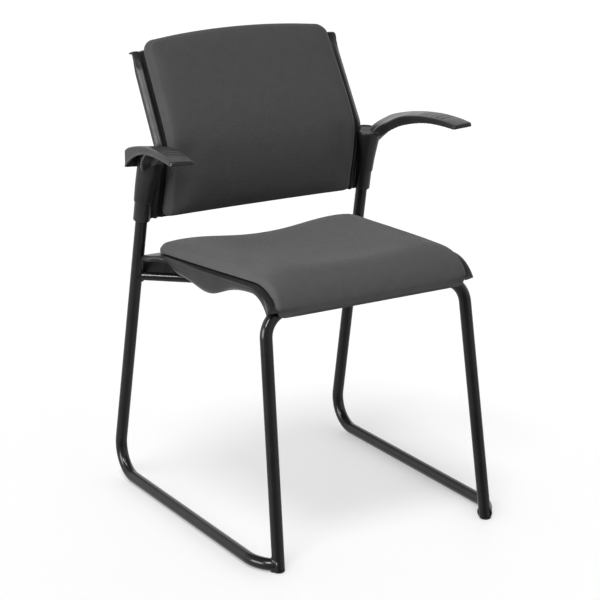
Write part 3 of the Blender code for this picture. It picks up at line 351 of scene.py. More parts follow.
@dataclass(frozen=True)
class BarePlywood:
    """Rotary-cut veneer of the hidden boards."""

    dark: Colour = (0.30, 0.19, 0.10)
    light: Colour = (0.50, 0.36, 0.22)
    ring: float = 0.014

    def make(self, name: str) -> Material:
        """The finish as a material."""
        recipe = Recipe(name)
        grain = recipe.bands(self.ring, 6.0, recipe.turned((0.0, 0.0, 0.3), (1.0, 0.15, 1.0)))
        recipe.tint(grain, self.dark, self.light, 0.1, 0.9)
        recipe.rough(recipe.noise(120.0), 0.6, 0.8)
        return recipe.material


@dataclass(frozen=True)
class StudioFloor:
    """Pale matt floor that shows as a white sweep."""

    dark: Colour = (0.70, 0.70, 0.70)
    light: Colour = (0.72, 0.72, 0.72)
    glow: float = 0.38

    def make(self, name: str) -> Material:
        """The finish as a material."""
        recipe = Recipe(name)
        recipe.set(Roughness=0.6, Specular_IOR_Level=0.2)
        recipe.set(Emission_Color=(1.0, 1.0, 1.0), Emission_Strength=self.glow)
        recipe.tint(recipe.noise(1.5), self.dark, self.light, 0.2, 0.8)
        return recipe.material


# Meshes


def axes(
    origin: Vector, x_axis: Vector, y_axis: Vector, z_axis: Vector,
    sizes: Sequence[float] = (1, 1, 1),
) -> Matrix:
    """A matrix that takes local axes to directions at an origin.

    Args:
        origin: Where the local origin goes.
        x_axis: Where local X points.
        y_axis: Where local Y points.
        z_axis: Where local Z points.
        sizes: Scale along the local axes.

    Returns:
        The matrix.
    """
    turn = Matrix((x_axis, y_axis, z_axis)).transposed().to_4x4()
    return Matrix.Translation(origin) @ turn @ Matrix.Diagonal((*sizes, 1))


def across_path(point: Vector, heading: Vector, width: float, depth: float) -> Matrix:
    """Axes of a ring across a path, with X kept level.

    Args:
        point: Where the ring's centre lies.
        heading: The path's direction.
        width: Half width along the level axis.
        depth: Half depth along the other axis.

    Returns:
        The ring's matrix.
    """
    heading = heading.normalized()
    level = heading.cross(UP)
    level = level.normalized() if level.length > 1e-6 else ACROSS.copy()
    return axes(point, level, level.cross(heading) * -1, heading, (width, depth, 1))


def rounded(radius: float, distance: float) -> float:
    """How far a rounded corner draws an edge in.

    Args:
        radius: The corner's radius.
        distance: Distance from the corner's end.

    Returns:
        The inset, 0 past the corner.
    """
    if distance >= radius:
        return 0.0
    return radius - math.sqrt(max(0.0, radius**2 - (radius - distance) ** 2))


def rolled(distance: float) -> float:
    """How far a rolled edge has fallen, from near 1 at its end to 0 at a distance of 1."""
    return rounded(1.0, NIP + distance)


def ease(value: float) -> float:
    """Smooth step from 0 to 1."""
    value = min(1.0, max(0.0, value))
    return value * value * (3 - 2 * value)


def curve_at(points: Curve, place: float) -> float:
    """Height of a smooth curve.

    Args:
        points: Pairs of place and height that it passes through, in order.
        place: Where it is read, held between the ends.

    Returns:
        The height.
    """
    last = len(points) - 1
    place = min(max(place, points[0][0]), points[last][0])
    index = next((i for i in range(last - 1) if place < points[i + 1][0]), last - 1)

    def slope(at: int) -> float:
        """Slope of the curve at one of its points."""
        low, high = points[max(at - 1, 0)], points[min(at + 1, last)]
        return (high[1] - low[1]) / (high[0] - low[0])

    (near, y0), (far, y1) = points[index], points[index + 1]
    run = far - near
    t = (place - near) / run
    a, b = slope(index) * run, slope(index + 1) * run
    return y0 + t * (a + t * (3 * (y1 - y0) - 2 * a - b + t * (2 * (y0 - y1) + a + b)))


def through(points: Sequence[tuple[float, float]], share: float) -> tuple[float, float]:
    """A point on a smooth curve through points.

    Args:
        points: What the curve passes through, in order.
        share: Place along it, from 0 to 1.

    Returns:
        The point.
    """
    last = len(points) - 1
    place = min(max(share, 0.0), 1.0) * last
    index = min(int(place), last - 1)
    t = place - index
    p0, p1 = points[max(index - 1, 0)], points[index]
    p2, p3 = points[index + 1], points[min(index + 2, last)]
    return tuple(
        0.5 * (
            2 * b + (c - a) * t + (2 * a - 5 * b + 4 * c - d) * t * t
            + (3 * b - a - 3 * c + d) * t**3
        )
        for a, b, c, d in zip(p0, p1, p2, p3)
    )


def grid(bm: BMesh, columns: int, rows: int, place: Place, towards: Vector) -> list[BMVert]:
    """An open sheet.

    Args:
        bm: Where it goes.
        columns: Faces across.
        rows: Faces along.
        place: Point for shares across and along, each from -1 to 1.
        towards: Which way its middle face looks.

    Returns:
        The sheet's vertices.
    """
    verts = bmesh.ops.create_grid(bm, x_segments=columns, y_segments=rows, size=1)["verts"]
    faces = list({face for vert in verts for face in vert.link_faces})
    middle = min(faces, key=lambda face: face.calc_center_median().length)
    for vert in verts:
        vert.co = place(vert.co.x, vert.co.y)
    middle.normal_update()
    if middle.normal.dot(towards) < 0:
        bmesh.ops.reverse_faces(bm, faces=faces)
    bm.normal_update()
    return verts


def of_kind(made: Sequence[BMVert | BMEdge | BMFace], kind: type) -> list:
    """The items of one kind in what an operator made."""
    return [item for item in made if isinstance(item, kind)]


class Loft:
    """A skin drawn from ring to ring."""

    def __init__(self, bm: BMesh, start: Matrix, sides: int, squareness: float = 1.0) -> None:
        """Makes the first ring.

        Args:
            bm: Where the skin goes.
            start: The unit ring's matrix.
            sides: Points round the ring.
            squareness: 1 for an ellipse, less for a squarer ring.
        """
        self.bm = bm
        self.matrix = start
        verts = bmesh.ops.create_circle(bm, cap_ends=False, radius=1, segments=sides)["verts"]
        for vert in verts:
            vert.co.x = math.copysign(abs(vert.co.x) ** squareness, vert.co.x)
            vert.co.y = math.copysign(abs(vert.co.y) ** squareness, vert.co.y)
        bmesh.ops.transform(bm, matrix=start, verts=verts)
        self.edges = list({edge for vert in verts for edge in vert.link_edges})
        self.first = list(self.edges)

    def to(self, matrix: Matrix) -> None:
        """Draws the skin on to the next ring."""
        made = bmesh.ops.extrude_edge_only(self.bm, edges=self.edges)["geom"]
        self.edges = of_kind(made, BMEdge)
        move = matrix @ self.matrix.inverted()
        bmesh.ops.transform(self.bm, matrix=move, verts=of_kind(made, BMVert))
        self.matrix = matrix

    def bend(self, centre: Vector, axis: Vector, angle: float, steps: int) -> None:
        """Spins the skin round a bend.

        Args:
            centre: A point on the bend's axis.
            axis: The axis's direction.
            angle: How far it turns.
            steps: Rings in the bend.
        """
        made = bmesh.ops.spin(
            self.bm, geom=self.edges, cent=centre, axis=axis, dvec=(0, 0, 0), angle=angle,
            steps=steps, use_merge=False, use_duplicate=False,
        )["geom_last"]
        self.edges = of_kind(made, BMEdge)
        turn = Matrix.Rotation(angle, 4, axis)
        turn = Matrix.Translation(centre) @ turn @ Matrix.Translation(-centre)
        self.matrix = turn @ self.matrix

    def close(self) -> None:
        """Caps both ends."""
        for edges in (self.first, self.edges):
            bmesh.ops.edgeloop_fill(self.bm, edges=edges)


def lofted(bm: BMesh, rings: Sequence[Matrix], sides: int, squareness: float = 1.0) -> None:
    """A closed skin through rings.

    Args:
        bm: Where it goes.
        rings: The unit ring's matrices, in order.
        sides: Points round each ring.
        squareness: 1 for an ellipse, less for a squarer ring.
    """
    loft = Loft(bm, rings[0], sides, squareness)
    for ring in rings[1:]:
        loft.to(ring)
    loft.close()


def outwards(bm: BMesh) -> None:
    """Turns a closed mesh's faces outwards."""
    bm.normal_update()
    bmesh.ops.recalc_face_normals(bm, faces=bm.faces)


def turned(
    bm: BMesh, foot: Vector, axis: Vector, rings: Sequence[tuple[float, float]], sides: int = 40
) -> None:
    """A closed round piece.

    Args:
        bm: Where it goes.
        foot: Origin of the heights.
        axis: The piece's axis.
        rings: Pairs of radius and height along the axis.
        sides: Points round it.
    """
    lofted(bm, [across_path(foot + axis * height, axis, r, r) for r, height in rings], sides)


def swept(bm: BMesh, corners: Sequence[Vector], radii: Sequence[float], tube_r: float) -> None:
    """A round tube with bends, closed at both ends.

    Args:
        bm: Where it goes.
        corners: Where the tube's straight runs meet, and its ends.
        radii: Bend radius at each inner corner.
        tube_r: The tube's radius.
    """
    loft = Loft(bm, across_path(corners[0], corners[1] - corners[0], tube_r, tube_r), TUBE_SIDES)
    last = corners[0]
    for before, corner, after, radius in zip(corners, corners[1:], corners[2:], radii):
        ahead = (corner - before).normalized()
        out = (after - corner).normalized()
        turn = ahead.angle(out)
        setback = radius * math.tan(turn / 2)
        start = corner - ahead * setback
        loft.to(Matrix.Translation(start - last) @ loft.matrix)
        axis = ahead.cross(out).normalized()
        loft.bend(start + axis.cross(ahead) * radius, axis, turn, BEND_STEPS)
        last = corner + out * setback
    loft.to(Matrix.Translation(corners[-1] - last) @ loft.matrix)
    loft.close()


def plate(bm: BMesh, outline: Sequence[Vector], thickness: Vector, edge: float) -> None:
    """A flat piece with rounded edges.

    Args:
        bm: Where it goes.
        outline: Corners of one face, in order.
        thickness: From that face to the other.
        edge: Radius of the edges.
    """
    verts = [bmesh.ops.create_vert(bm, co=point)["vert"][0] for point in outline]
    face = bmesh.ops.contextual_create(bm, geom=verts)["faces"][0]
    made = bmesh.ops.extrude_face_region(bm, geom=[face], use_keep_orig=True)["geom"]
    top = of_kind(made, BMVert)
    bmesh.ops.translate(bm, vec=thickness, verts=top)
    faces = {item for vert in verts + top for item in vert.link_faces}
    bmesh.ops.recalc_face_normals(bm, faces=list(faces))
    edges = list({item for vert in verts + top for item in vert.link_edges})
    bmesh.ops.bevel(
        bm, geom=edges, offset=edge, segments=EDGE_SEGMENTS, profile=0.5, affect="EDGES",
        material=-1, clamp_overlap=True,
    )


def piece(name: str, bm: BMesh, material: Material) -> Object:
    """A finished mesh as an object at the origin.

    Args:
        name: The object's name.
        bm: Its mesh, which is freed.
        material: Its finish.

    Returns:
        The object.
    """
    mesh = bpy.data.meshes.new(name)
    bm.to_mesh(mesh)
    bm.free()
    mesh.materials.append(material)
    mesh.shade_smooth()
    mesh.set_sharp_from_angle(angle=SHARP_EDGE)
    obj = bpy.data.objects.new(name, mesh)
    bpy.context.scene.collection.objects.link(obj)
    return obj


def seat_in(obj: Object, slot: Slot, *nodes: str) -> None:
    """Fixes a piece to the chair's body and hides the solids that it stands for.

    Args:
        obj: The piece.
        slot: Not used; the record's slot of the piece's finish.
        nodes: The solids that it replaces.
    """
    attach(obj, BODY)
    if nodes:
        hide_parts(*nodes)
    stands_for = ", ".join(nodes) or "detail"
    LOG.info("%s: %d faces, for %s", obj.name, len(obj.data.polygons), stands_for)


def fit(name: str, bm: BMesh, material: Material, slot: Slot, *nodes: str) -> None:
    """Turns a closed mesh outwards and seats it as a piece.

    Args:
        name: The piece's name.
        bm: Its mesh, which is freed.
        material: Its finish.
        slot: The record's slot of that finish.
        nodes: The solids that it replaces.
    """
    outwards(bm)
    seat_in(piece(name, bm, material), slot, *nodes)


def walled(obj: Object, wall: float, edge: float) -> None:
    """Gives a sheet its wall, inwards, and rounds the wall's edges.

    Args:
        obj: The sheet.
        wall: Its thickness.
        edge: Radius of the rounded edges.
    """
    solid = obj.modifiers.new("wall", "SOLIDIFY")
    solid.thickness = wall
    solid.offset = -1
    solid.use_even_offset = True
    bevel = obj.modifiers.new("edge", "BEVEL")
    bevel.width = edge
    bevel.segments = EDGE_SEGMENTS
    bevel.limit_method = "ANGLE"
    bevel.angle_limit = WALL_EDGE


def modified(bm: BMesh, kind: str, **values: float | str) -> BMesh:
    """A mesh after one modifier.

    Args:
        bm: The mesh before it, which is freed.
        kind: The modifier's type.
        values: The modifier's settings.

    Returns:
        The new mesh.
    """
    mesh = bpy.data.meshes.new("rough")
    bm.to_mesh(mesh)
    bm.free()
    holder = bpy.data.objects.new("rough", mesh)
    bpy.context.scene.collection.objects.link(holder)
    modifier = holder.modifiers.new("form", kind)
    for key, value in values.items():
        setattr(modifier, key, value)
    graph = bpy.context.evaluated_depsgraph_get()
    made = bmesh.new()
    made.from_mesh(holder.evaluated_get(graph).to_mesh())
    bpy.data.objects.remove(holder)
    bpy.data.meshes.remove(mesh)
    return made


# Lines that the chair is laid out on


@dataclass(frozen=True)
class Station:
    """A place on a line in the YZ plane, with its heading and the distance gone."""

    y: float
    z: float
    heading: float
    s: float

    @property
    def ahead(self) -> Vector:
        """Unit vector along the line."""
        return Vector((0, math.cos(self.heading), math.sin(self.heading)))

    @property
    def normal(self) -> Vector:
        """Unit vector on the right of the line's heading."""
        return Vector((0, math.sin(self.heading), -math.cos(self.heading)))

    def point(self, x: float = 0.0, height: float = 0.0, ahead: float = 0.0) -> Vector:
        """A point beside, above and ahead of the station."""
        return Vector((x, self.y, self.z)) + self.normal * height + self.ahead * ahead


@dataclass(frozen=True)
class Stretch:
    """A run of a line: straight, or an arc that turns left by an angle."""

    length: float
    turn: float = 0.0


@dataclass(frozen=True)
class Line:
    """A line in the YZ plane, made of stretches."""

    start: tuple[float, float]
    heading: float
    stretches: tuple[Stretch, ...]

    @property
    def length(self) -> float:
        """The whole line's length."""
        return sum(stretch.length for stretch in self.stretches)

    def station(self, s: float) -> Station:
        """The station at a distance from the start.

        Args:
            s: The distance, which may lie past either end.

        Returns:
            The station.
        """
        y, z = self.start
        heading, gone = self.heading, 0.0
        for index, stretch in enumerate(self.stretches):
            last = index == len(self.stretches) - 1
            run = s - gone if last or s - gone < stretch.length else stretch.length
            turn = stretch.turn * min(max(run / stretch.length, 0.0), 1.0)
            if abs(turn) > 1e-9:
                bend = stretch.length / stretch.turn
                y += bend * (math.sin(heading + turn) - math.sin(heading))
                z -= bend * (math.cos(heading + turn) - math.cos(heading))
                heading += turn
                over = max(0.0, run - stretch.length)
            else:
                over = run
            y += over * math.cos(heading)
            z += over * math.sin(heading)
            gone += run
            if gone >= s:
                break
        return Station(y, z, heading, s)


@dataclass(frozen=True)
class Layout:
    """Sizes and lines that the sub-assemblies share."""

    tube_r: float = 0.011
    runner_half: float = 0.2465
    rear_floor_y: float = 0.2808
    rear_lean: float = math.radians(11.53)
    rear_close: float = math.radians(0.98)
    foot_x: float = 0.2188
    foot_y: float = -0.2690
    bar_half: float = 0.2042
    bar_y: float = -0.2022
    bar_z: float = 0.4405
    seat_height: float = 0.4520
    seat_leg_gap: float = 0.0200
    seat_side_gap: float = 0.0229
    seat_rise: float = math.radians(3.9)
    seat_run: float = 0.333
    lip_r: float = 0.067
    lip_turn: float = math.radians(68)
    taper: float = 0.0040
    taper_end: float = 0.330
    back_rise: float = 0.0702
    back_forward: float = 0.0005
    back_lower: float = 0.1343
    back_upper: float = 0.1850
    back_lower_lean: float = math.radians(13.8)
    back_upper_lean: float = math.radians(30.5)
    back_bend_r: float = 0.040
    socket_grip: float = 0.098
    shell_leg_gap: float = 0.0175

    def rear_leg(self, side: int, z: float) -> Vector:
        """A point on a rear leg's axis."""
        rise = z - self.tube_r
        x = side * (self.runner_half - rise * math.tan(self.rear_close))
        return Vector((x, self.rear_floor_y - rise * math.tan(self.rear_lean), z))

    def front_leg(self, side: int, z: float) -> Vector:
        """A point on a front leg's axis."""
        share = z / self.bar_z
        x = side * (self.foot_x + (self.bar_half - self.foot_x) * share)
        return Vector((x, self.foot_y + (self.bar_y - self.foot_y) * share, z))

    def leg_axis(self, side: int) -> Vector:
        """Unit vector up a rear leg."""
        return (self.rear_leg(side, 1) - self.rear_leg(side, 0)).normalized()

    def leg_back(self, side: int) -> Vector:
        """Unit vector behind a rear leg."""
        return ACROSS.cross(self.leg_axis(side)).normalized() * -1

    def tapered(self, s: float) -> float:
        """How much narrower each side of the seat is at a distance from its rear."""
        return self.taper * min(1.0, max(0.0, s / self.taper_end)) ** 2

    @property
    def seat_rear_y(self) -> float:
        """Rear end of the seat's rim."""
        return self.rear_leg(1, self.seat_height).y - self.seat_leg_gap

    @property
    def pan_half(self) -> float:
        """Half width of the seat pan."""
        return self.rear_leg(1, self.seat_height).x - self.seat_side_gap

    @property
    def back_low_z(self) -> float:
        """Height of the back's lower edge."""
        return self.seat_height + self.back_rise

    @property
    def upright_top_z(self) -> float:
        """Height of the uprights' ends."""
        return self.back_low_z + self.socket_grip

    @property
    def seat(self) -> Line:
        """The seat's rim, from its rear end over the lip."""
        lip = Stretch(self.lip_r * self.lip_turn, self.lip_turn)
        start = (self.seat_rear_y, self.seat_height)
        return Line(start, math.pi - self.seat_rise, (Stretch(self.seat_run), lip))

    @property
    def back(self) -> Line:
        """The back's face, from its lower edge to its upper end. Normals point back."""
        turn = self.back_lower_lean + self.back_upper_lean
        setback = self.back_bend_r * math.tan(turn / 2)
        start = (self.rear_leg(1, self.back_low_z).y - self.back_forward, self.back_low_z)
        runs = (
            Stretch(self.back_lower - setback),
            Stretch(self.back_bend_r * turn, -turn),
            Stretch(self.back_upper - setback),
        )
        return Line(start, math.pi / 2 + self.back_lower_lean, runs)


# Frame


@dataclass
class TubeFrame:
    """Bent tubes, their welds and the front legs' plugs."""

    layout: Layout
    coat: Material
    plastic: Material
    rear_bend_r: float = 0.055
    runner_end_r: float = 0.070
    front_bend_r: float = 0.045
    cross_r: float = 0.008
    cross_corner: Vector = field(default_factory=lambda: Vector((0.150, 0.1178, 0.4122)))
    cross_bend_r: float = 0.035
    plug_shown: float = 0.0045
    plug_in: float = 0.018
    plug_sides: int = 36
    bead: float = 0.0030
    bead_sides: int = 12
    bead_steps: int = 36
    end_share: float = 0.95

    def side_path(self, side: int) -> list[Vector]:
        """Corners of a side tube, from the upright's end to the front foot."""
        lay = self.layout
        front = lay.front_leg(side, lay.tube_r)
        inset = lay.runner_half - abs(front.x)
        turn = math.acos(1 - self.end_share * inset / self.runner_end_r)
        x = side * lay.runner_half
        return [
            lay.rear_leg(side, lay.upright_top_z),
            Vector((x, lay.rear_floor_y, lay.tube_r)),
            Vector((x, front.y + inset / math.tan(turn), lay.tube_r)),
            front,
        ]

    def weld(self, bm: BMesh, joint: Vector, ahead: Vector, tube_r: float, into: Vector) -> None:
        """A weld bead round a tube's end, saddled on the tube that it meets.

        Args:
            bm: Where it goes.
            joint: Where the two axes meet.
            ahead: Direction of the tube towards the joint.
            tube_r: The tube's radius.
            into: Direction of the other tube, a leg.
        """
        into_r = self.layout.tube_r
        ahead = ahead.normalized()
        into = (into - ahead * into.dot(ahead)).normalized()
        flank = into.cross(ahead)
        start = axes(flank * tube_r, flank, ahead, into, (self.bead, self.bead, 1))
        loft = Loft(bm, start, self.bead_sides)
        before = set(bm.verts) - {vert for edge in loft.edges for vert in edge.verts}
        bmesh.ops.spin(
            bm, geom=loft.edges, cent=(0, 0, 0), axis=ahead, dvec=(0, 0, 0), angle=math.tau,
            steps=self.bead_steps, use_merge=True, use_duplicate=False,
        )
        for vert in set(bm.verts) - before:
            off = min(abs(vert.co.dot(flank)), into_r)
            vert.co += joint - ahead * math.sqrt(into_r**2 - off**2)
            vert.co.z = max(vert.co.z, 0.0)

    def build(self) -> None:
        """Makes the tubes, welds and plugs."""
        lay = self.layout
        for side in Side:
            sign = side.value
            path = self.side_path(sign)
            bm = bmesh.new()
            swept(bm, path, [self.rear_bend_r, self.runner_end_r], lay.tube_r)
            leg = lay.front_leg(sign, 1) - lay.front_leg(sign, 0)
            self.weld(bm, path[-1], path[-1] - path[-2], lay.tube_r, leg)
            word = side.label
            fit(f"side_tube_{word}", bm, self.coat, Slot.FRAME, f"side_frame_{word}")
            bm = bmesh.new()
            self.plug(bm, sign)
            fit(f"leg_plug_{word}", bm, self.plastic, Slot.PLASTIC, f"foot_plug_{word}")
        bm = bmesh.new()
        corners = [lay.front_leg(1, self.plug_shown), lay.front_leg(1, lay.bar_z)]
        corners += [lay.front_leg(-1, lay.bar_z), lay.front_leg(-1, self.plug_shown)]
        swept(bm, corners, [self.front_bend_r] * 2, lay.tube_r)
        fit("front_tube", bm, self.coat, Slot.FRAME, "front_frame")
        self.cross_tube()

    def cross_tube(self) -> None:
        """Makes the tube between the rear legs."""
        lay, corner = self.layout, self.cross_corner
        mirrored = Vector((-corner.x, corner.y, corner.z))
        ends = [lay.rear_leg(sign, corner.z) for sign in (1, -1)]
        bm = bmesh.new()
        swept(bm, [ends[0], corner, mirrored, ends[1]], [self.cross_bend_r] * 2, self.cross_r)
        for end, near, sign in ((ends[0], corner, 1), (ends[1], mirrored, -1)):
            self.weld(bm, end, end - near, self.cross_r, lay.leg_axis(sign))
        fit("cross_tube", bm, self.coat, Slot.FRAME, "rear_cross_tube")

    def plug(self, bm: BMesh, side: int) -> None:
        """Makes the plug in a front leg's end, flat on the floor."""
        lay, shown = self.layout, self.plug_shown
        profile = [(0.0080, 0.0), (0.0093, 0.0), (0.0103, 0.0007), (0.0109, 0.0020)]
        profile += [(0.0109, shown - 0.0006), (0.0103, shown - 0.0002)]
        profile += [(0.0092, shown), (0.0092, self.plug_in)]
        rings = [
            axes(lay.front_leg(side, height), ACROSS, Vector((0, 1, 0)), UP, (r, r, 1))
            for r, height in profile
        ]
        lofted(bm, rings, self.plug_sides)


# Seat


@dataclass
class SeatPan:
    """Moulded pan under the seat, whose rear corners reach the rear legs."""

    layout: Layout
    plastic: Material
    wall: float = 0.003
    rear_r: float = 0.016
    rear_turn: float = math.radians(70)
    rear_skirt: float = 0.040
    lift: float = 0.006
    trim: float = 0.008
    floor: float = 0.028
    lip_floor: float = 0.004
    rim_width: float = 0.022
    side_slope: float = 0.0387
    rim_drop: float = 0.001
    brow: float = 0.006
    curl: float = 0.0115
    skirt_end: float = 0.0105
    skirt_from: float = 0.024
    skirt_taper: float = 0.052
    skirt_rear: float = 0.0300
    skirt_front: float = 0.0170
    belly: float = 0.0210
    belly_at: float = 0.178
    belly_spread: float = 0.068
    ear_end: float = 0.038
    ear_run: float = 0.030
    floor_from: float = 0.004
    floor_run: float = 0.022
    lip_before: float = 0.012
    lip_run: float = 0.045
    brow_most: float = 0.55
    edge: float = 0.0009
    cells: tuple[int, int] = (78, 84)

    def skirt(self, s: float) -> float:
        """Depth of the side skirt below the rim."""
        lay = self.layout
        base = self.skirt_rear + (self.skirt_front - self.skirt_rear) * ease(s / lay.seat_run)
        full = base + self.belly * math.exp(-(((s - self.belly_at) / self.belly_spread) ** 2))
        share = ease((s - self.skirt_from) / self.skirt_taper)
        return self.skirt_end + (full - self.skirt_end) * share

    def sunk(self, s: float) -> float:
        """Depth of the floor below the rim."""
        rim = self.rim_drop - self.lift
        rear = rim + (self.floor - rim) * ease((s - self.floor_from) / self.floor_run)
        front = 1 - ease((s - self.layout.seat_run + self.lip_before) / self.lip_run)
        return self.lip_floor + (rear - self.lip_floor) * front

    def half(self, s: float) -> float:
        """Half width of the rim, which widens to the legs at the rear."""
        lay = self.layout
        reach = lay.rear_leg(1, lay.seat_height).x - lay.pan_half
        return lay.pan_half + reach * ease((self.ear_end - s) / self.ear_run) - lay.tapered(s)

    def section(self, s: float) -> list[tuple[float, float]]:
        """Half section from the middle to the skirt's edge.

        Args:
            s: Distance from the rim's rear end.

        Returns:
            Pairs of x and height.
        """
        half = self.half(s)
        floor, skirt = self.sunk(s), self.skirt(s)
        rim = self.layout.pan_half - self.layout.tapered(s) - self.rim_width
        lift = self.lift
        flat = rim - self.side_slope
        brow = min(self.brow, skirt * self.brow_most)
        hang = skirt - brow
        curl = self.curl * ease((skirt - self.skirt_end) / self.brow)
        return [
            (0, -floor),
            (flat / 2, -floor),
            (flat, -floor),
            (rim - self.side_slope * 0.57, -0.62 * floor),
            (rim - self.side_slope * 0.23, lift - 0.15 * floor - self.rim_drop),
            (rim, lift - self.rim_drop),
            (half - 0.4 * self.rim_width, lift - self.rim_drop),
            (half - 0.1 * self.rim_width, lift - self.rim_drop - 0.3 * (brow - self.rim_drop)),
            (half, lift - brow),
            (half - 0.08 * curl, lift - brow - 0.33 * hang),
            (half - 0.42 * curl, lift - brow - 0.75 * hang),
            (half - curl, lift - skirt),
        ]

    def line(self) -> Line:
        """The rim with the rear skirt and its rounded edge before it."""
        lay = self.layout
        heading = math.pi - lay.seat_rise
        start = heading - self.rear_turn
        y = lay.seat_rear_y - self.rear_r * (math.sin(heading) - math.sin(start))
        z = lay.seat_height + self.rear_r * (math.cos(heading) - math.cos(start))
        y -= self.rear_skirt * math.cos(start)
        z -= self.rear_skirt * math.sin(start)
        arc = Stretch(self.rear_r * self.rear_turn, self.rear_turn)
        return Line((y, z), start, (Stretch(self.rear_skirt), arc, *lay.seat.stretches))

    def build(self) -> None:
        """Makes the pan."""
        line = self.line()
        rear = self.rear_skirt + self.rear_r * self.rear_turn

        def place(u: float, v: float) -> Vector:
            """Point of the sheet.

            Args:
                u: Share across, from -1 to 1.
                v: Share along, from -1 to 1.

            Returns:
                The point.
            """
            t = (v + 1) / 2
            s = (line.length - self.trim) * (0.35 * t + 0.65 * t**1.6)
            x, height = through(self.section(s - rear), abs(u))
            return line.station(s).point(math.copysign(x, u), height)

        bm = bmesh.new()
        grid(bm, *self.cells, place, UP)
        obj = piece("seat_tray", bm, self.plastic)
        walled(obj, self.wall, self.edge)
        seat_in(obj, Slot.PLASTIC, "seat_pan")


@dataclass
class Cushion:
    """A pad of foam in a sewn cover, filled by a cloth simulation."""

    layout: Layout
    cover: Material
    columns: tuple[float, ...] = (0.16, 0.31, 0.46, 0.59, 0.70, 0.78, 0.85, 0.91, 0.955, 1)
    wall: Curve = (
        (-0.0045, 0.0), (0.0008, 0.18), (0.0018, 0.45), (0.0, 0.75), (-0.0040, 0.95),
    )
    slack: float = 0.0015
    pressure: float = 4.0
    cap: float = 0.004
    settling: int = 24
    frames: int = 20

    def shares(self) -> list[float]:
        """Columns across the pad, as shares of its half width."""
        return [-share for share in reversed(self.columns)] + [0, *self.columns]

    def cage(self, rows: int, place: Callable[[float, int, int], Vector]) -> BMesh:
        """A box cut into columns, rows and levels, put where place says.

        Args:
            rows: Faces from end to end.
            place: Point for a column's share, a row and a level of the side wall.

        Returns:
            The closed form.
        """
        shares = self.shares()
        counts = (len(shares) - 1, rows, len(self.wall) - 1)
        bm = bmesh.new()
        bmesh.ops.create_cube(bm, size=2)
        for axis, count in enumerate(counts):
            edges = [e for e in bm.edges if abs(e.verts[0].co[axis] - e.verts[1].co[axis]) > 1]
            bmesh.ops.subdivide_edges(bm, edges=edges, cuts=count - 1, use_grid_fill=True)
        for vert in bm.verts:
            steps = (round((vert.co[i] + 1) * count / 2) for i, count in enumerate(counts))
            column, row, level = steps
            vert.co = place(shares[column], row, level)
        outwards(bm)
        return bm

    def fill(self, name: str, bm: BMesh, held: Callable[[Vector], bool]) -> Object:
        """Blows the cover up round the foam.

        Args:
            name: The piece's name.
            bm: The closed form, which is freed.
            held: Whether the cover is fixed where it has a normal.

        Returns:
            The padded piece.
        """
        skin = modified(bm, "SUBSURF", levels=2, render_levels=2)
        skin.normal_update()
        fixed = {vert.index for vert in skin.verts if held(vert.normal)}
        for vert in skin.verts:
            if vert.index not in fixed:
                vert.co -= vert.normal * self.slack
        obj = piece(name, skin, self.cover)
        self.blow(obj, sorted(fixed))
        finish = obj.modifiers.new("finish", "SUBSURF")
        finish.levels = finish.render_levels = 1
        return obj

    def blow(self, obj: Object, fixed: Sequence[int]) -> None:
        """Runs the cloth and keeps how far it rose, within the cap and without creases.

        Args:
            obj: The cover.
            fixed: Points that are tacked to the board.
        """
        scene = bpy.context.scene
        group = obj.vertex_groups.new(name="tacked")
        group.add(list(fixed), 1.0, "REPLACE")
        cloth = obj.modifiers.new("cover", "CLOTH")
        weave = cloth.settings
        weave.quality, weave.mass = 5, 0.25
        weave.tension_stiffness = weave.compression_stiffness = 12
        weave.shear_stiffness, weave.bending_stiffness = 6, 1.5
        weave.use_pressure, weave.uniform_pressure_force = True, self.pressure
        weave.vertex_group_mass = group.name
        weave.effector_weights.gravity = 0
        cloth.point_cache.frame_start = 1
        cloth.point_cache.frame_end = self.frames
        rest = [vert.co.copy() for vert in obj.data.vertices]
        for frame in range(1, self.frames + 1):
            scene.frame_set(frame)
        graph = bpy.context.evaluated_depsgraph_get()
        blown = [vert.co.copy() for vert in obj.evaluated_get(graph).data.vertices]
        obj.modifiers.remove(cloth)
        obj.vertex_groups.remove(group)
        scene.frame_set(1)
        bm = bmesh.new()
        bm.from_mesh(obj.data)
        bm.normal_update()
        normals = [vert.normal.copy() for vert in bm.verts]
        beside = [[edge.other_vert(vert).index for edge in vert.link_edges] for vert in bm.verts]
        bm.free()
        rises = [
            max(-self.cap, min(self.cap, (now - was).dot(up)))
            for was, now, up in zip(rest, blown, normals)
        ]
        for _ in range(self.settling):
            rises = [
                (rise + sum(rises[index] for index in near)) / (1 + len(near))
                for rise, near in zip(rises, beside)
            ]
        for vert, was, up, rise in zip(obj.data.vertices, rest, normals, rises):
            vert.co = was + up * rise
        LOG.info("%s: cover rose up to %.1f mm", obj.name, max(rises) * 1000)


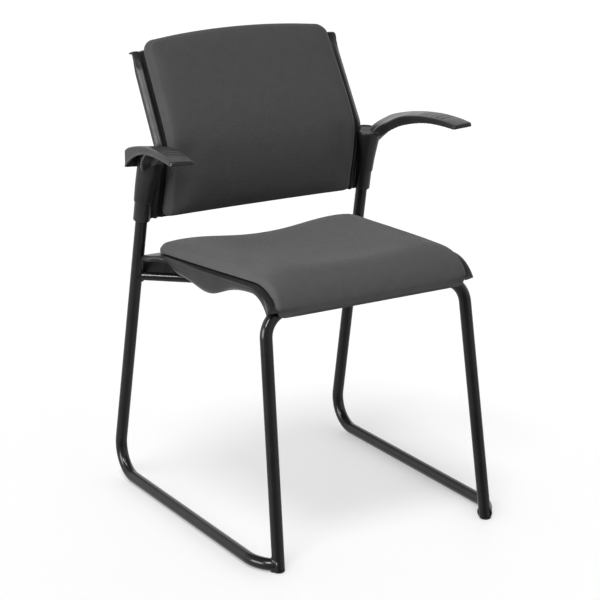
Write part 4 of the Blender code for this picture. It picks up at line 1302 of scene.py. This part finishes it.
@dataclass
class SeatPad(Cushion):
    """Upholstered seat: sloped sides, a dished middle and a rolled front."""

    wall: Curve = (
        (-0.0020, 0.0), (0.0010, 0.15), (0.0012, 0.40), (-0.0006, 0.68), (-0.0045, 0.92),
    )
    rear_stops: tuple[float, ...] = (0, 0.004, 0.010, 0.018, 0.030)
    flat_rows: int = 12
    lip_stops: tuple[float, ...] = (0.18, 0.36, 0.53, 0.68, 0.81, 0.91, 1)
    inset: float = 0.006
    lip_inset: float = 0.015
    crest: float = 0.0287
    lip_crest: float = 0.0210
    flat_run: float = 0.265
    shoulder: float = 0.0052
    shoulder_at: float = 0.83
    dish: float = 0.0115
    rear_lift: float = 0.0015
    front_fall: float = 0.0160
    front_run: float = 0.050
    swell: float = 0.0030
    swell_at: float = 0.036
    swell_spread: float = 0.026
    lift_run: float = 0.14
    rear_reach: float = 0.008
    rear_fall: float = 0.010
    rear_run: float = 0.036
    rear_r: float = 0.011
    front_r: float = 0.014
    front_reach: float = 0.0020
    front_tuck: float = -0.0040
    tuck_from: float = 0.022
    tuck_run: float = 0.018
    lip_soft: float = 0.4
    under: float = 0.0065
    held_from: float = -0.75

    def build(self) -> None:
        """Makes the seat's pad."""
        lay = self.layout
        line = lay.seat
        stops, rows = list(self.rear_stops), self.flat_rows
        start = stops[-1]
        stops += [start + (lay.seat_run - start) * step / rows for step in range(1, rows + 1)]
        lip = line.length - lay.seat_run
        stops += [lay.seat_run + lip * share for share in self.lip_stops]
        stations = [line.station(s) for s in stops]
        last = len(stops) - 1
        half = lay.pan_half - self.inset

        def place(share: float, row: int, level: int) -> Vector:
            """Point of the cage.

            Args:
                share: Share of the half width, from -1 to 1.
                row: Row from end to end.
                level: Level of the side wall.

            Returns:
                The point.
            """
            station = stations[row]
            fall = ease((station.s - self.flat_run) / (line.length - self.flat_run))
            side = half - (self.lip_inset - self.inset) * station.s / line.length
            side -= lay.tapered(station.s)
            side -= rounded(self.rear_r, station.s) + rounded(self.front_r, line.length - station.s)
            crest = self.crest + (self.lip_crest - self.crest) * fall
            crest += self.rear_lift * (1 - ease(station.s / self.lift_run))
            crest -= self.rear_fall * rolled(station.s / self.rear_run)
            crest -= self.front_fall * rolled((line.length - station.s) / self.front_run)
            off = (station.s - lay.seat_run - self.swell_at) / self.swell_spread
            crest += self.swell * math.exp(-(off**2))
            dish = math.cos(min(1, abs(share) / self.shoulder_at) * math.pi / 2) ** 2
            shoulder = rolled((1 - abs(share)) / (1 - self.shoulder_at))
            top = crest - self.dish * (1 - fall) * dish
            top -= self.shoulder * (1 - self.lip_soft * fall) * shoulder
            tuck = ease((station.s - line.length + self.tuck_from) / self.tuck_run)
            low = self.under + (self.front_tuck - self.under) * tuck
            out, lift = self.wall[level]
            border = abs(share) == 1 or row in (0, last)
            height = low + (top - low) * (lift if border else level > 0)
            x, ahead = share * side, 0.0
            if abs(share) == 1:
                x = math.copysign(side + out, share)
            if row == 0:
                ahead = -out - self.rear_reach
            elif row == last:
                ahead = out + self.front_reach
            return station.point(x, height, ahead)

        cage = self.cage(last, place)
        obj = self.fill("seat_cushion", cage, lambda normal: normal.z < self.held_from)
        seat_in(obj, Slot.SEAT, "seat_pad")


@dataclass
class BackPad(Cushion):
    """Upholstered back: a lumbar swell, drawn-in sides and a crowned top edge."""

    inset: float = 0.0190
    depth: float = 0.0275
    top_depth: float = 0.0200
    hollow: float = 0.003
    edge_fall: float = 0.006
    bend_run: float = 0.072
    low_up: float = 0.004
    crown: float = 0.012
    above: float = 0.021
    top_r: float = 0.020
    low_r: float = 0.010
    corner_share: float = 0.8
    rise_from: float = 0.6
    side_soft: float = 0.45
    edge_run: float = 0.08
    low_run: float = 5.0
    under: float = 0.0005
    held_from: float = 0.6
    low_stops: tuple[float, ...] = (0, 0.07, 0.17, 0.30, 0.44, 0.58, 0.72, 0.87)
    bend_rows: int = 4
    top_stops: tuple[float, ...] = (0.12, 0.28, 0.44, 0.60, 0.74, 0.86, 0.94, 1)

    def eased(self, away: float, bend: float) -> float:
        """How much foam is left out to make the shell's sharp bend a long one.

        Args:
            away: Distance from the bend's middle.
            bend: Half the shell's bend.

        Returns:
            The depth left out.
        """
        turn = self.layout.back_lower_lean + self.layout.back_upper_lean
        away = abs(away) if abs(away) > bend else (away**2 + bend**2) / (2 * bend)
        return turn / (4 * self.bend_run) * max(0.0, self.bend_run - away) ** 2

    def build(self) -> None:
        """Makes the back's pad."""
        lay = self.layout
        line = lay.back
        lower, bend, upper = (stretch.length for stretch in line.stretches)
        stops = [lower * share for share in self.low_stops]
        stops += [lower + bend * step / self.bend_rows for step in range(self.bend_rows + 1)]
        stops += [lower + bend + upper * share for share in self.top_stops]
        stations = [line.station(s) for s in stops]
        last = len(stops) - 1

        def place(share: float, row: int, level: int) -> Vector:
            """Point of the cage.

            Args:
                share: Share of the half width, from -1 to 1.
                row: Row from end to end.
                level: Level of the side wall.

            Returns:
                The point.
            """
            station = stations[row]
            half = lay.rear_leg(1, station.z).x - lay.shell_leg_gap - self.inset
            corner = rounded(self.top_r, line.length - station.s) * self.corner_share
            half -= corner + rounded(self.low_r, station.s) * self.corner_share
            start = line.length * self.rise_from
            rise = ease((station.s - start) / (line.length - start))
            soft = self.eased(station.s - lower - bend / 2, bend / 2)
            face = self.depth + (self.top_depth - self.depth) * ease(station.s / line.length)
            face -= self.hollow * (1 - share**2) + soft * (1 - self.side_soft * share**2)
            face -= self.edge_fall * rolled((1 - abs(share)) / self.edge_run)
            out, lift = self.wall[level]
            border = abs(share) == 1 or row in (0, last)
            depth = self.under + (face - self.under) * (lift if border else level > 0)
            x = share * half
            ahead = rise * (self.above + self.crown * (1 - share**2))
            if abs(share) == 1:
                x = math.copysign(half + out, share)
            ahead += self.low_up * (1 - ease(station.s / (self.low_run * self.low_r)))
            if row == 0:
                ahead -= out
            elif row == last:
                ahead += out
            return station.point(x, -depth, ahead)

        cage = self.cage(last, place)
        obj = self.fill("back_cushion", cage, lambda normal: normal.y > self.held_from)
        seat_in(obj, Slot.BACK, "back_pad")


# Back


@dataclass
class BackShell:
    """Moulded shell behind the back's pad, with sockets on the uprights."""

    layout: Layout
    plastic: Material
    wall: float = 0.003
    roll: float = 0.012
    roll_width: float = 0.015
    bead: float = 0.0024
    lip_roll: float = 0.002
    roll_fade: float = 0.036
    lip_r: float = 0.008
    lip: float = 0.006
    lip_turn: float = math.radians(75)
    socket_r: float = 0.0155
    socket_cap: float = 0.004
    web: float = 0.0095
    rib: float = 0.0016
    rib_places: tuple[float, ...] = (0.62, 0.86)
    bar_edge: float = 0.0012
    edge: float = 0.0009
    cells: tuple[int, int] = (100, 78)

    def section(self, station: Station, top: float) -> list[tuple[float, float]]:
        """Half section from the middle to the rolled edge.

        Args:
            station: Where it lies on the back's line.
            top: Distance of the face's upper end.

        Returns:
            Pairs of x and height behind the face.
        """
        lay = self.layout
        edge = lay.rear_leg(1, station.z).x - lay.shell_leg_gap
        fade = ease((station.s - top) / self.roll_fade + 1)
        roll = self.roll + (self.lip_roll - self.roll) * fade
        width = self.roll_width
        return [
            (0, 0),
            (edge * 0.45, 0),
            (edge - 2 * width, 0),
            (edge - 1.35 * width, 0.0012),
            (edge - 1.02 * width, 0.0008),
            (edge - 0.70 * width, -self.bead * (1 - fade)),
            (edge - 0.45 * width, -0.2 * self.bead * (1 - fade)),
            (edge - 0.22 * width, roll * 0.16),
            (edge - 0.03 * width, roll * 0.36),
            (edge, roll * 0.58),
            (edge + (0.15 * fade - 0.03) * width, roll),
        ]

    def build(self) -> None:
        """Makes the shell, its sockets and their webs."""
        face = self.layout.back
        lip = (Stretch(self.lip_r * self.lip_turn, -self.lip_turn), Stretch(self.lip))
        line = Line(face.start, face.heading, (*face.stretches, *lip))

        def place(u: float, v: float) -> Vector:
            """Point of the sheet.

            Args:
                u: Share across, from -1 to 1.
                v: Share along, from -1 to 1.

            Returns:
                The point.
            """
            t = (v + 1) / 2
            s = line.length * (1.35 * t - 0.35 * t * t)
            station = line.station(s)
            x, height = through(self.section(station, face.length), abs(u))
            return station.point(math.copysign(x, u), height)

        bm = bmesh.new()
        grid(bm, *self.cells, place, Vector((0, -1, 0)))
        obj = piece("back_panel", bm, self.plastic)
        walled(obj, self.wall, self.edge)
        seat_in(obj, Slot.PLASTIC, "back_shell")
        for side in Side:
            bm = bmesh.new()
            self.socket(bm, side.value)
            self.bridge(bm, side.value)
            fit(f"back_socket_{side.label}", bm, self.plastic, Slot.PLASTIC)

    def socket(self, bm: BMesh, side: int) -> None:
        """Makes the socket round an upright's end."""
        lay, r = self.layout, self.socket_r
        low = lay.rear_leg(side, lay.back_low_z)
        high = lay.rear_leg(side, lay.upright_top_z + self.socket_cap)
        length = (high - low).length
        rings = [(lay.tube_r + 0.0002, 0.0006), (r - 0.0022, 0.0), (r - 0.0006, 0.0005)]
        rings += [(r, 0.0016), (r, length - 0.001), (r - 0.001, length)]
        turned(bm, low, lay.leg_axis(side), rings)

    def bridge(self, bm: BMesh, side: int) -> None:
        """Makes the web between a socket and the shell, with two ribs on its face."""
        lay = self.layout
        low, high = lay.rear_leg(side, lay.back_low_z), lay.rear_leg(side, lay.upright_top_z)
        up, back = lay.leg_axis(side), lay.leg_back(side)
        length = (high - low).length
        across = lay.shell_leg_gap + self.roll
        self.bar(bm, low, up, back, (-side * across, 0.0), self.web, length)
        rib, foot = self.rib, low - back * self.rib
        for place in self.rib_places:
            x = -side * across * place
            self.bar(bm, foot, up, back, (x - rib, x + rib), 2 * rib, length)

    def bar(
        self, bm: BMesh, foot: Vector, up: Vector, back: Vector, span: tuple[float, float],
        deep: float, length: float,
    ) -> None:
        """Makes an upright bar with rounded edges.

        Args:
            bm: Where it goes.
            foot: Origin of its lower end.
            up: Its long direction.
            back: Its depth's direction.
            span: Its two sides along X.
            deep: Its depth.
            length: Its length.
        """
        corners = [foot + ACROSS * span[0], foot + ACROSS * span[1]]
        outline = [corners[0], corners[1], corners[1] + back * deep, corners[0] + back * deep]
        plate(bm, outline, up * length, min(deep / 3, self.bar_edge))


# Armrests


@dataclass
class Armrest:
    """Moulded arm: a hollow hood on a sleeve that widens upwards.

    Heights are above the sleeve's datum, and distances ahead of it.
    """

    layout: Layout
    plastic: Material
    side: Side
    width: float = 0.044
    splay: float = math.radians(7.4)
    out: float = 0.0225
    datum: float = 0.016
    outer_top: Curve = (
        (-0.0015, 0.0225), (0.010, 0.0285), (0.025, 0.0345), (0.050, 0.0410), (0.080, 0.0472),
        (0.110, 0.0516), (0.140, 0.0543), (0.165, 0.0553), (0.190, 0.0545), (0.210, 0.0530),
        (0.2365, 0.0495),
    )
    inner_top: Curve = (
        (-0.0015, 0.0092), (0.018, 0.0128), (0.036, 0.0196), (0.060, 0.0318), (0.080, 0.0402),
        (0.105, 0.0466), (0.130, 0.0505), (0.155, 0.0527), (0.180, 0.0530), (0.205, 0.0515),
        (0.2365, 0.0478),
    )
    outer_low: Curve = (
        (-0.0015, -0.0070), (0.010, -0.0010), (0.025, 0.0090), (0.045, 0.0195), (0.070, 0.0293),
        (0.095, 0.0362), (0.120, 0.0405), (0.150, 0.0430), (0.180, 0.0443), (0.210, 0.0446),
        (0.2365, 0.0432),
    )
    inner_low: Curve = (
        (-0.0015, -0.0100), (0.030, -0.0030), (0.050, 0.0080), (0.078, 0.0222), (0.100, 0.0300),
        (0.120, 0.0355), (0.145, 0.0407), (0.170, 0.0435), (0.200, 0.0441), (0.2365, 0.0424),
    )
    crown: float = 0.0012
    wall: float = 0.0030
    lip: float = 0.0022
    flare: float = 0.0016
    tip_corner: float = 0.008
    rear_corner: float = 0.008
    edge: float = 0.0026
    soft_edge: float = 0.0050
    soft_run: float = 0.110
    sleeve: tuple[tuple[float, float, float, float], ...] = (
        (-0.0790, 0.0160, 0.0, 0.0), (-0.0772, 0.0172, 0.0, 0.0),
        (-0.0650, 0.0176, 0.0006, 0.0006), (-0.0500, 0.0180, 0.0020, 0.0016),
        (-0.0340, 0.0183, 0.0052, 0.0040), (-0.0180, 0.0186, 0.0088, 0.0076),
        (-0.0040, 0.0188, 0.0112, 0.0100), (0.0045, 0.0187, 0.0118, 0.0106),
        (0.0068, 0.0176, 0.0116, 0.0104), (0.0076, 0.0160, 0.0114, 0.0102),
        (0.0064, 0.0138, 0.0112, 0.0100), (0.0060, 0.0100, 0.0110, 0.0098),
    )
    neck: tuple[tuple[float, float, float, float], ...] = (
        (-0.004, -0.030, 0.0030, 0.0050), (0.006, -0.016, 0.0085, 0.0070),
        (0.016, -0.003, 0.0118, 0.0080), (0.029, 0.009, 0.0130, 0.0076),
        (0.047, 0.0200, 0.0136, 0.0066), (0.070, 0.0300, 0.0140, 0.0052),
        (0.094, 0.0378, 0.0140, 0.0040),
    )
    neck_in: float = 0.0205
    voxel: float = 0.0012
    ridges: tuple[float, ...] = (0.136, 0.150, 0.164, 0.178, 0.192)
    ridge: float = 0.0008
    ridge_width: float = 0.0028
    ridge_half: float = 0.30
    ridge_fade: float = 0.10
    hood_cells: tuple[int, int] = (26, 96)
    hood_least: float = 0.0006
    sleeve_sides: int = 48
    neck_sides: int = 40
    neck_square: float = 0.45
    smoothing: int = 2

    def frame(self) -> Matrix:
        """Axes of the arm: ahead, up and across, at the sleeve's datum."""
        lay, sign = self.layout, self.side.value
        high = lay.rear_leg(sign, lay.upright_top_z + self.datum)
        ahead = Vector((sign * math.sin(self.splay), -math.cos(self.splay), 0))
        return axes(high + ACROSS * sign * self.out, ahead, UP, ahead.cross(UP))

    def build(self) -> None:
        """Makes the arm as one moulding."""
        bm = bmesh.new()
        self.add_hood(bm)
        self.add_sleeve(bm)
        self.add_neck(bm)
        skin = modified(bm, "REMESH", mode="VOXEL", voxel_size=self.voxel)
        for _ in range(self.smoothing):
            bmesh.ops.smooth_vert(
                skin, verts=skin.verts, factor=0.5,
                use_axis_x=True, use_axis_y=True, use_axis_z=True,
            )
        self.cut_ridges(skin)
        label = self.side.label
        seat_in(piece(f"armrest_{label}", skin, self.plastic), Slot.PLASTIC, f"arm_{label}")

    def inner(self, across: float) -> float:
        """Share of the way from the outer edge to the inner one."""
        return 0.5 + self.side.value * across / self.width

    def level(self, outer: Curve, inner: Curve, ahead: float, across: float) -> float:
        """Height between an outer and an inner curve."""
        share = min(1.0, max(0.0, self.inner(across)))
        return curve_at(outer, ahead) * (1 - share) + curve_at(inner, ahead) * share

    def add_hood(self, bm: BMesh) -> None:
        """Makes the arm's hollow top."""
        half = self.width / 2
        rear, reach = self.outer_top[0][0], self.outer_top[-1][0]

        def place(u: float, v: float) -> Vector:
            """Point of the sheet.

            Args:
                u: Share across, from -1 to 1.
                v: Share along, from -1 to 1.

            Returns:
                The point.
            """
            t = (v + 1) / 2
            ahead = rear + (reach - rear) * (t - 0.6 * math.sin(math.tau * t) / math.tau)
            to_tip, to_rear = reach - ahead, ahead - rear
            side = half - rounded(self.tip_corner, to_tip) - rounded(self.rear_corner, to_rear)
            across = side * math.sin(u * math.pi / 2)
            soft = self.soft_edge * (1 - ease(ahead / self.soft_run))
            soft *= ease(self.inner(across) * 2 - 1)
            near = min(side - abs(across), to_tip, to_rear)
            height = self.level(self.outer_top, self.inner_top, ahead, across)
            height -= rounded(self.edge + soft, near)
            return Vector((ahead, height + self.crown * (1 - (across / half) ** 2), across))

        verts = grid(bm, *self.hood_cells, place, Vector((0, 1, 0)))
        faces = list({face for vert in verts for face in vert.link_faces})
        rim = list({edge for face in faces for edge in face.edges if edge.is_boundary})
        for drop, flare in ((self.lip, 0.0), (0.0, self.flare)):
            made = bmesh.ops.extrude_edge_only(bm, edges=rim)["geom"]
            rim = of_kind(made, BMEdge)
            faces += of_kind(made, BMFace)
            for vert in of_kind(made, BMVert):
                low = self.level(self.outer_low, self.inner_low, vert.co.x, vert.co.z) + drop
                vert.co.y = min(vert.co.y - self.hood_least, low)
                vert.co.z += math.copysign(flare, vert.co.z)
        bmesh.ops.recalc_face_normals(bm, faces=faces)
        bm.normal_update()
        crest = max(faces, key=lambda face: face.calc_center_median().y)
        if crest.normal.y < 0:
            bmesh.ops.reverse_faces(bm, faces=faces)
        bmesh.ops.solidify(bm, geom=faces, thickness=self.wall)
        bmesh.ops.transform(bm, matrix=self.frame(), verts=bm.verts)

    def add_sleeve(self, bm: BMesh) -> None:
        """Makes the sleeve and the rimmed shelf on its top."""
        lay, sign = self.layout, self.side.value
        datum = lay.upright_top_z + self.datum
        up, front = lay.leg_axis(sign), lay.leg_back(sign) * -1
        aside = up.cross(front)

        def ring(height: float, radius: float, ahead: float, inward: float) -> Matrix:
            """Ring of the sleeve.

            Args:
                height: Height above the datum.
                radius: Its least radius.
                ahead: How much longer it is to the front.
                inward: How much wider it is to the chair's middle.

            Returns:
                The ring's matrix.
            """
            middle = lay.rear_leg(sign, datum + height) + front * ahead / 2
            middle -= ACROSS * sign * inward / 2
            return axes(middle, aside, front, up, (radius + inward / 2, radius + ahead / 2, 1))

        lofted(bm, [ring(*row) for row in self.sleeve], self.sleeve_sides)

    def add_neck(self, bm: BMesh) -> None:
        """Makes the tongue from the sleeve's front to the arm's underside."""
        frame, sign = self.frame(), self.side.value
        rings, last = [], len(self.neck) - 1
        for index, (ahead, up, wide, deep) in enumerate(self.neck):
            near, far = self.neck[min(index + 1, last)], self.neck[max(index - 1, 0)]
            heading = frame.to_3x3() @ Vector((near[0] - far[0], near[1] - far[1], 0))
            point = frame @ Vector((ahead, up, sign * self.neck_in * (1 - index / last)))
            rings.append(across_path(point, heading, wide, deep))
        lofted(bm, rings, self.neck_sides, self.neck_square)

    def cut_ridges(self, bm: BMesh) -> None:
        """Sinks shallow grooves between the grip ridges on the arm's top."""
        back = self.frame().inverted()
        bm.normal_update()
        for vert in bm.verts:
            local = back @ vert.co
            if vert.normal.z < 0.5:
                continue
            past = abs(local.z) - self.width * self.ridge_half
            side = 1 - ease(past / (self.width * self.ridge_fade))
            offs = [(local.x - place) / self.ridge_width for place in self.ridges]
            sink = sum(math.exp(-(off**2)) for off in offs)
            vert.co -= vert.normal * self.ridge * sink * side


# Fasteners


@dataclass
class Fasteners:
    """Bolts under the seat and behind the back, and the arms' screws."""

    layout: Layout
    coat: Material
    zinc: Material
    bolt_x: float = 0.09996
    head_r: float = 0.0055
    head: float = 0.003
    shank_r: float = 0.003
    seat_under: float = -0.0346
    shell_back: float = 0.0033
    screw_rise: float = 0.068
    screw_out: float = 0.0201
    screw_scale: float = 0.75
    seat_places: tuple[float, float] = (0.290, 0.072)
    back_low: float = 0.055
    back_high: float = 0.070
    seat_shank: float = 0.014
    back_shank: float = 0.008
    screw_shank: float = 0.010
    sides: int = 30

    def head_on(self, under: Vector, out: Vector, shank: float, scale: float = 1.0) -> BMesh:
        """A domed head with a round drive recess, and its shank.

        Args:
            under: Centre of the head's underside.
            out: Direction of the head.
            shank: Length of the shank.
            scale: Size of the head against a bolt's.

        Returns:
            The fastener's mesh.
        """
        bm = bmesh.new()
        r, h, neck = self.head_r * scale, self.head * scale, self.shank_r * scale
        rings = [(neck, -shank), (neck, 0.0), (r * 0.96, 0.0), (r, h * 0.12)]
        rings += [(r * 0.97, h * 0.45), (r * 0.82, h * 0.80), (r * 0.60, h * 0.98), (r * 0.46, h)]
        rings += [(r * 0.40, h * 0.92), (r * 0.38, h * 0.35)]
        turned(bm, under, out, rings, self.sides)
        return bm

    def build(self) -> None:
        """Makes every fastener that shows."""
        lay = self.layout
        seat, back = lay.seat, lay.back
        for side in Side:
            x, word = side.value * self.bolt_x, side.label
            for end, s in zip(("front", "rear"), self.seat_places):
                station = seat.station(s)
                under, out = station.point(x, self.seat_under), station.normal * -1
                node, bm = f"seat_bolt_{end}_{word}", self.head_on(under, out, self.seat_shank)
                fit(f"{node}_head", bm, self.zinc, Slot.ZINC, node)
            for end, s in (("low", self.back_low), ("high", back.length - self.back_high)):
                station = back.station(s)
                under, out = station.point(x, self.shell_back), station.normal
                node, bm = f"back_bolt_{end}_{word}", self.head_on(under, out, self.back_shank)
                fit(f"{node}_head", bm, self.coat, Slot.FRAME, node)
            behind = lay.leg_back(side.value)
            under = lay.rear_leg(side.value, lay.back_low_z + self.screw_rise)
            under += behind * self.screw_out
            bm = self.head_on(under, behind, self.screw_shank, self.screw_scale)
            fit(f"arm_screw_{word}_head", bm, self.coat, Slot.FRAME, f"arm_screw_{word}")


# Studio


@dataclass(frozen=True)
class SoftBox:
    """An area light that faces the chair."""

    name: str
    place: tuple[float, float, float]
    size: tuple[float, float]
    power: float


@dataclass
class Studio:
    """Floor, lights and camera."""

    eye: Vector = field(default_factory=lambda: Vector((-1.801, -2.9035, 1.4225)))
    aim: Vector = field(default_factory=lambda: Vector((0.0796, 0.1459, 0.3279)))
    lens: float = 118.1
    floor_half: float = 30.0
    ceiling: float = 0.25
    walls: float = 0.95
    wall_top: tuple[float, float] = (0.50, 0.77)
    front: Vector = field(default_factory=lambda: Vector((-0.52, -0.854, 0.0)))
    front_edge: tuple[float, float] = (0.64, 0.91)
    front_left: float = 0.08
    below: float = 0.62
    horizon: float = -0.06
    sensor: float = 36.0
    key: float = 1.0
    boxes: tuple[SoftBox, ...] = (
        SoftBox("high_box", (-2.26, -0.87, 2.34), (0.5, 1.1), 52.0),
        SoftBox("front_box", (-0.60, -1.70, 3.00), (1.2, 1.2), 14.0),
        SoftBox("low_box", (-2.85, 0.10, 0.85), (1.5, 1.1), 60.0),
    )
    box_aim: Vector = field(default_factory=lambda: Vector((0.0, 0.0, 0.55)))
    key_angle: float = math.radians(19)
    key_from: Vector = field(default_factory=lambda: Vector((-0.26, -0.17, 0.951)))

    def fade(
        self, tree: bpy.types.NodeTree, value: NodeSocket, span: tuple[float, float],
        ends: tuple[float, float],
    ) -> NodeSocket:
        """A smooth change from one level to another.

        Args:
            tree: The sky's nodes.
            value: What it follows.
            span: Values where it starts and ends.
            ends: Levels there.

        Returns:
            The level.
        """
        node = tree.nodes.new("ShaderNodeMapRange")
        node.interpolation_type = "SMOOTHSTEP"
        for key, number in zip(("From Min", "From Max", "To Min", "To Max"), (*span, *ends)):
            node.inputs[key].default_value = number
        tree.links.new(value, node.inputs["Value"])
        return node.outputs["Result"]

    def sky(self) -> bpy.types.World:
        """Bright walls low down at the sides and behind, dim above, below and in front."""
        world = bpy.data.worlds.new("studio")
        world.use_nodes = True
        tree = world.node_tree
        way = tree.nodes.new("ShaderNodeTexCoord").outputs["Generated"]
        split = tree.nodes.new("ShaderNodeSeparateXYZ")
        towards = tree.nodes.new("ShaderNodeVectorMath")
        lit, sum_up, level = (tree.nodes.new("ShaderNodeMath") for _ in range(3))
        towards.operation = "DOT_PRODUCT"
        lit.operation, sum_up.operation, level.operation = "MULTIPLY", "ADD", "MULTIPLY"
        height, facing = split.outputs["Z"], towards.outputs["Value"]
        background = tree.nodes["Background"].inputs
        for source, target in (
            (way, split.inputs["Vector"]),
            (way, towards.inputs[0]),
            (self.fade(tree, height, self.wall_top, (self.walls, 0.0)), lit.inputs[0]),
            (self.fade(tree, facing, self.front_edge, (1.0, self.front_left)), lit.inputs[1]),
            (lit.outputs["Value"], sum_up.inputs[0]),
            (sum_up.outputs["Value"], level.inputs[0]),
            (self.fade(tree, height, (self.horizon, 0.0), (self.below, 1.0)), level.inputs[1]),
            (level.outputs["Value"], background["Strength"]),
        ):
            tree.links.new(source, target)
        towards.inputs[1].default_value = self.front.normalized()
        sum_up.inputs[1].default_value = self.ceiling
        background["Color"].default_value = (1, 1, 1, 1)
        return world

    def build(self, floor: Material) -> None:
        """Sets the studio up.

        Args:
            floor: The floor's finish.
        """
        scene = bpy.context.scene
        bm = bmesh.new()
        bmesh.ops.create_grid(bm, x_segments=4, y_segments=4, size=self.floor_half)
        sheet = piece("floor", bm, floor)
        sheet.visible_diffuse = sheet.visible_glossy = sheet.visible_shadow = False
        unlit = bpy.data.collections.new("lit_by_sky_and_key")
        unlit.objects.link(sheet)
        unlit.collection_objects[0].light_linking.link_state = "EXCLUDE"
        scene.world = self.sky()
        sun = bpy.data.lights.new("key", "SUN")
        sun.energy, sun.angle = self.key, self.key_angle
        key = bpy.data.objects.new("key", sun)
        key.rotation_euler = self.key_from.to_track_quat("Z", "Y").to_euler()
        scene.collection.objects.link(key)
        for box in self.boxes:
            lamp = bpy.data.lights.new(box.name, "AREA")
            lamp.shape = "RECTANGLE"
            lamp.size, lamp.size_y = box.size
            lamp.energy = box.power
            holder = bpy.data.objects.new(box.name, lamp)
            holder.location = box.place
            holder.light_linking.receiver_collection = unlit
            out = Vector(box.place) - self.box_aim
            holder.rotation_euler = out.to_track_quat("Z", "Y").to_euler()
            scene.collection.objects.link(holder)
        data = bpy.data.cameras.new("camera")
        data.lens = self.lens
        data.sensor_width = self.sensor
        camera = bpy.data.objects.new("camera", data)
        camera.location = self.eye
        camera.rotation_euler = (self.aim - self.eye).to_track_quat("-Z", "Y").to_euler()
        scene.collection.objects.link(camera)
        scene.camera = camera
        scene.view_settings.view_transform = "Standard"


def dress_nodes(
    nodes: dict[str, Object], finishes: dict[Slot, Material], record: dict
) -> None:
    """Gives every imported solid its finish, by its record's slot.

    Args:
        nodes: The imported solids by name.
        finishes: Materials by slot.
        record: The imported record.
    """
    slots = {item["node"]: Slot(item["material_slot"]) for item in record["subparts"]}
    for name, obj in nodes.items():
        obj.data.materials.clear()
        obj.data.materials.append(finishes[slots[name]])


def main() -> None:
    """Builds the chair and the studio."""
    logging.basicConfig(level=logging.INFO, format="%(name)s: %(message)s")
    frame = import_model()
    finishes = {
        Slot.FRAME: GlossCoat().make("gloss_coat"),
        Slot.PLASTIC: GrainedPlastic().make("grained_plastic"),
        Slot.SEAT: WovenCover().make("seat_weave"),
        # The back's cover is the seat's weave in the darker tones above: painted shade, not a
        # different fabric.
        Slot.BACK: WovenCover(*SHADED_BACK_TONES).make("back_weave_painted_shade"),
        Slot.PLYWOOD: BarePlywood().make("bare_plywood"),
        Slot.ZINC: ZincPlate().make("zinc_plate"),
    }
    dress_nodes(frame["nodes"], finishes, frame["record"])
    layout = Layout()
    coat, plastic = finishes[Slot.FRAME], finishes[Slot.PLASTIC]
    TubeFrame(layout, coat, plastic).build()
    SeatPan(layout, plastic).build()
    BackShell(layout, plastic).build()
    for side in Side:
        Armrest(layout, plastic, side).build()
    Fasteners(layout, coat, finishes[Slot.ZINC]).build()
    SeatPad(layout, finishes[Slot.SEAT]).build()
    BackPad(layout, finishes[Slot.BACK]).build()
    Studio().build(StudioFloor().make("studio_floor"))


if __name__ == "__main__":
    main()
